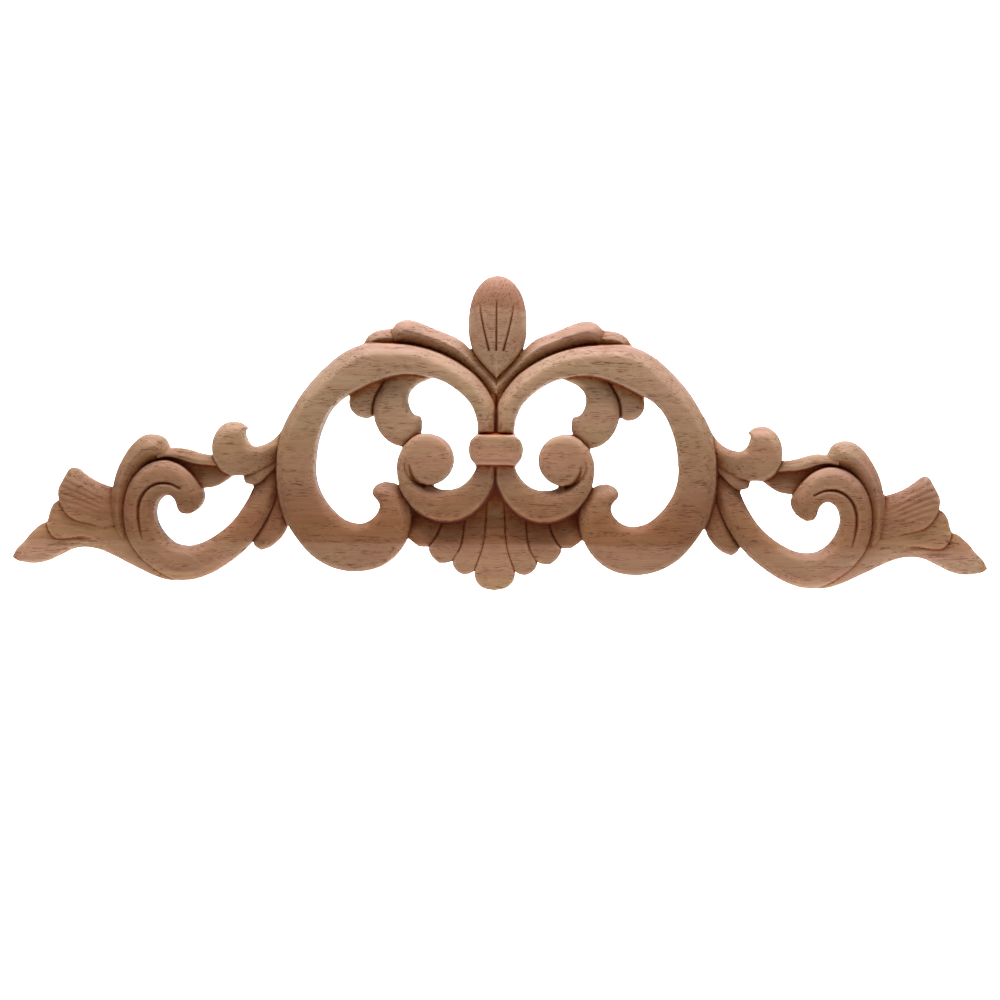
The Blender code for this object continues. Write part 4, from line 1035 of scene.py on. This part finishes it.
def rubberwood():
    material = bpy.data.materials.new("rubberwood")
    material.use_nodes = True
    tree = material.node_tree
    shader = tree.nodes["Principled BSDF"]
    noise, mask = woodOptions["noise"], woodOptions["mask"]
    strength, wander = woodOptions["strength"], woodOptions["wander"]
    start = Flow(tree)
    place = start.node("ShaderNodeTexCoord", {}, {}, "Object")
    across = start.node("ShaderNodeSeparateXYZ", {}, {0: place}, "X")
    up = start.node("ShaderNodeSeparateXYZ", {}, {0: place}, "Z")
    side = start.node("ShaderNodeMath", {"operation": "ABSOLUTE"}, {0: across})
    normal = start.node("ShaderNodeTexCoord", {}, {}, "Normal")
    slope = start.node("ShaderNodeSeparateXYZ", {}, {0: normal}, "Z")
    facing = 0 - start.node("ShaderNodeSeparateXYZ", {}, {0: normal}, "Y")
    # bend places the painted shade in hollows and the painted highlight on ridges
    bend = start.node("ShaderNodeAttribute", {"attribute_name": "bend"}, {}, "Fac")
    bend = bend * facing.between(*mask["front"])      # none on the outer walls and the back

    # grain, pores, scratches and end grain, each as a mask
    broad = gate(place, "broad")
    patch = gate(place, "patch")
    grain = place.noise(*noise["grain"])
    streak = grain.between(*mask["grain"])
    fine = place.noise(*noise["fine"])
    poreGate = gate(place, "poreGate")
    pores = gate(place, "pores") * poreGate
    dashes = gate(place, "dashes") * poreGate
    leaning = start.node("ShaderNodeVectorRotate", {"rotation_type": "Y_AXIS"},
                         {"Vector": place, "Angle": -math.radians(woodOptions["scratchLean"])})
    scratches = gate(leaning, "scratches") * gate(place, "scratchGate")
    specks = gate(place, "specks")
    drift = broad - 0.5
    cap = (up + drift * wander["cap"]).between(*mask["cap"])
    tail = (side - up * woodOptions["tailLean"] + (patch - 0.5) * wander["tail"]).between(*mask["tail"])
    # the low board's darker tone also paints the shade that the small scrolls cast on the shell below them
    lowBoardAndShade = (woodOptions["lowBoardReach"] - side).between(*mask["lowBoardEnd"])
    lowBoardAndShade = lowBoardAndShade * (0 - up).between(*mask["lowBoardTop"]) * up.between(*mask["lowBoardFoot"])

    # tones of the glued boards, by height and along the length, the latter with painted shade beside the main
    # scroll's outer edge
    bottom, top = woodOptions["boards"][0][0], woodOptions["boards"][-1][0]
    stops = [((height - bottom) / (top - bottom), tone) for height, tone in woodOptions["boards"]]
    share = (up - bottom) / (top - bottom) + drift * wander["boards"]
    boards = start.node("ShaderNodeValToRGB", {"stops": stops}, {"Fac": share}, "Color")
    span = 2 * woodOptions["lengths"][-1][0]
    stops = [(out / span + 0.5, tone) for out, tone in woodOptions["lengths"]]
    share = across / span + 0.5 + drift * wander["lengths"]
    lengths = start.node("ShaderNodeValToRGB", {"stops": stops}, {"Fac": share}, "Color")

    # colour, from the wood itself to the wear on it, then the painted highlights and shade
    colour = start.node("ShaderNodeMix", {"data_type": "RGBA"},
                        {0: broad, 6: woodOptions["tan"], 7: woodOptions["pink"]}, 2)
    colour = colour.mixed(woodOptions["olive"], patch * strength["olive"])
    colour = colour.tinted(boards, 1.0).tinted(lengths, 1.0)
    tints = [
        ("tail", tail),
        ("lowBoardAndShade", lowBoardAndShade),
        ("streak", (1 - streak) * strength["streak"]),
        ("fibre", fine.between(*mask["fine"]) * strength["fibre"]),
        ("scratch", scratches * (1 - cap) * strength["scratch"]),
        ("cap", cap),
        ("pore", pores * (1 - cap) * strength["pore"]),
        ("pore", dashes * (1 - cap) * strength["pore"]),
        ("pore", specks * cap * strength["speck"]),
        # painted light: highlights on slopes that face up and on ridges, shade beside higher wood, down the
        # grooves and on walls that face down
        ("dust", slope.between(*mask["dust"])),
        ("ridge", (0 - bend).between(*mask["ridge"])),
        ("shade", bend.between(*mask["shade"])),
        ("hollow", bend.between(*mask["hollow"])),
        ("undercut", bend.between(*mask["groove"]) * (0 - slope).between(*mask["overhang"])),
    ]
    for name, share in tints:
        colour = colour.tinted(woodOptions[name], share)
    tree.links.new(colour.socket, shader.inputs["Base Color"])

    rough = woodOptions["roughness"] + streak * woodOptions["streakRoughness"]
    rough = rough + pores * woodOptions["poreRoughness"]
    tree.links.new(rough.socket, shader.inputs["Roughness"])
    heights = woodOptions["relief"]
    raised = grain * heights["grain"] + fine * heights["fine"]
    raised = raised - pores * heights["pores"] - dashes * heights["pores"]
    depth = {"Strength": woodOptions["bump"], "Distance": woodOptions["bumpDepth"]}
    bump = start.node("ShaderNodeBump", {}, {"Height": raised, **depth})
    tree.links.new(bump.socket, shader.inputs["Normal"])
    shader.inputs["IOR"].default_value = woodOptions["ior"]
    shader.inputs["Sheen Weight"].default_value = woodOptions["sheen"]
    shader.inputs["Sheen Roughness"].default_value = woodOptions["sheenRoughness"]
    print("wood:", len(tree.nodes), "nodes")
    return material


def makeCarving():
    corners, faces, bend = mirrored(*thinned(*closedHalf(*halfSurface()), carvingOptions["halfFaces"]))
    placed = np.column_stack([corners[:, 0], -corners[:, 2], corners[:, 1]]) * mm
    placed = np.clip(placed, np.array(cadLow), np.array(cadHigh))      # never outside the solid's box
    mesh = makeMesh("carving_surface", placed, faces)
    layer = mesh.attributes.new("bend", "FLOAT", "POINT")
    layer.data.foreach_set("value", bend)
    mesh.materials.append(rubberwood())
    mesh.shade_smooth()
    mesh.set_sharp_from_angle(angle=math.radians(carvingOptions["creaseAngle"]))
    body = bpy.data.objects.new("carved_surface", mesh)
    bpy.context.scene.collection.objects.link(body)
    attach(body, "root")
    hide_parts("carving")
    print("carving:", len(mesh.polygons), "faces")


# Stage, light and camera

studioOptions = {
    "floor": -0.50,          # metres below the knot
    "backdrop": 1.6,         # metres behind the carving
    "sweep": 0.5,            # radius of the bend from floor to backdrop
    "sweepSteps": 12,
    "reach": 4.0,            # metres to each side, up and towards the camera
    "paper": (0.92, 0.92, 0.92, 1),
    "paperRoughness": 0.9,
    "sky": 0.14,
    "lamps": {               # place, aimed at, size, power, spread in degrees
        "above": ((0, -0.17, 0.75), (0, 0, 0), (1.4, 0.3), 8.5, 120),
        "below": ((0, -0.2, -0.35), (0, 0, 0), (1.3, 0.3), 1.35, 160),
        "behind": ((0, 0.3, 1.1), (0, 1.6, -0.1), (2.4, 0.6), 70, 100),
    },
}

cameraOptions = {
    "sensor": 36,            # millimetres wide
    "distance": 1.4,
    "azimuth": 3.2,          # degrees round to the right of the carving's front
    "elevation": 0.0,
    "roll": 0.65,            # degrees, as the carving hangs a little clockwise
    "frameWidth": 0.5134,    # width of the picture at the carving
    "middle": (0.0019, -0.0257),       # the point looked at: metres right of the knot and above it
}


def makeStage():
    # floor that sweeps up into a backdrop
    depth, sweep = studioOptions["backdrop"], studioOptions["sweep"]
    reach, steps = studioOptions["reach"], studioOptions["sweepSteps"]
    profile = [(-reach, 0.0), (depth - sweep, 0.0)]
    for step in range(1, steps + 1):
        angle = math.pi / 2 * step / steps
        profile.append((depth - sweep + sweep * math.sin(angle), sweep - sweep * math.cos(angle)))
    profile.append((depth, reach))
    corners = [(side * reach, y, studioOptions["floor"] + z) for y, z in profile for side in (-1, 1)]
    faces = [(2 * i, 2 * i + 1, 2 * i + 3, 2 * i + 2) for i in range(len(profile) - 1)]
    mesh = bpy.data.meshes.new("backdrop")
    mesh.from_pydata(corners, [], faces)
    mesh.shade_smooth()
    material = bpy.data.materials.new("paper")
    material.use_nodes = True
    shader = material.node_tree.nodes["Principled BSDF"]
    shader.inputs["Base Color"].default_value = studioOptions["paper"]
    shader.inputs["Roughness"].default_value = studioOptions["paperRoughness"]
    mesh.materials.append(material)
    stage = bpy.data.objects.new("backdrop", mesh)
    bpy.context.scene.collection.objects.link(stage)
    print("stage: floor and backdrop")


def makeLight(name, place, target, size, power, spread):
    light = bpy.data.lights.new(name, "AREA")
    light.shape = "RECTANGLE"
    light.size, light.size_y = size
    light.energy = power
    light.spread = math.radians(spread)
    lamp = bpy.data.objects.new(name, light)
    lamp.location = place
    lamp.rotation_euler = (Vector(target) - Vector(place)).to_track_quat("-Z", "Y").to_euler()
    bpy.context.scene.collection.objects.link(lamp)


def makeLights():
    world = bpy.data.worlds.new("studio")
    bpy.context.scene.world = world
    world.use_nodes = True
    world.node_tree.nodes["Background"].inputs["Color"].default_value = (1, 1, 1, 1)
    world.node_tree.nodes["Background"].inputs["Strength"].default_value = studioOptions["sky"]
    for name, values in studioOptions["lamps"].items():
        makeLight(name, *values)
    print("lamps:", len(studioOptions["lamps"]))


def makeCamera():
    camera = bpy.data.cameras.new("camera")
    camera.sensor_width = cameraOptions["sensor"]
    camera.lens = camera.sensor_width * cameraOptions["distance"] / cameraOptions["frameWidth"]
    eye = bpy.data.objects.new("camera", camera)
    azimuth = math.radians(cameraOptions["azimuth"])
    rise = math.radians(cameraOptions["elevation"])
    back = Vector((math.sin(azimuth) * math.cos(rise), -math.cos(azimuth) * math.cos(rise), math.sin(rise)))
    middle = cameraOptions["middle"]
    target = Vector((middle[0], 0, middle[1]))
    eye.location = target + back * cameraOptions["distance"]
    eye.rotation_mode = "QUATERNION"
    eye.rotation_quaternion = (-back).to_track_quat("-Z", "Y")
    eye.rotation_quaternion.rotate(Quaternion(back, math.radians(cameraOptions["roll"])))
    bpy.context.scene.collection.objects.link(eye)
    bpy.context.scene.camera = eye
    print("camera:", cameraOptions["distance"], "m in front")


makeCamera()
makeStage()
makeLights()
bpy.context.scene.view_settings.view_transform = "Standard"
makeCarving()
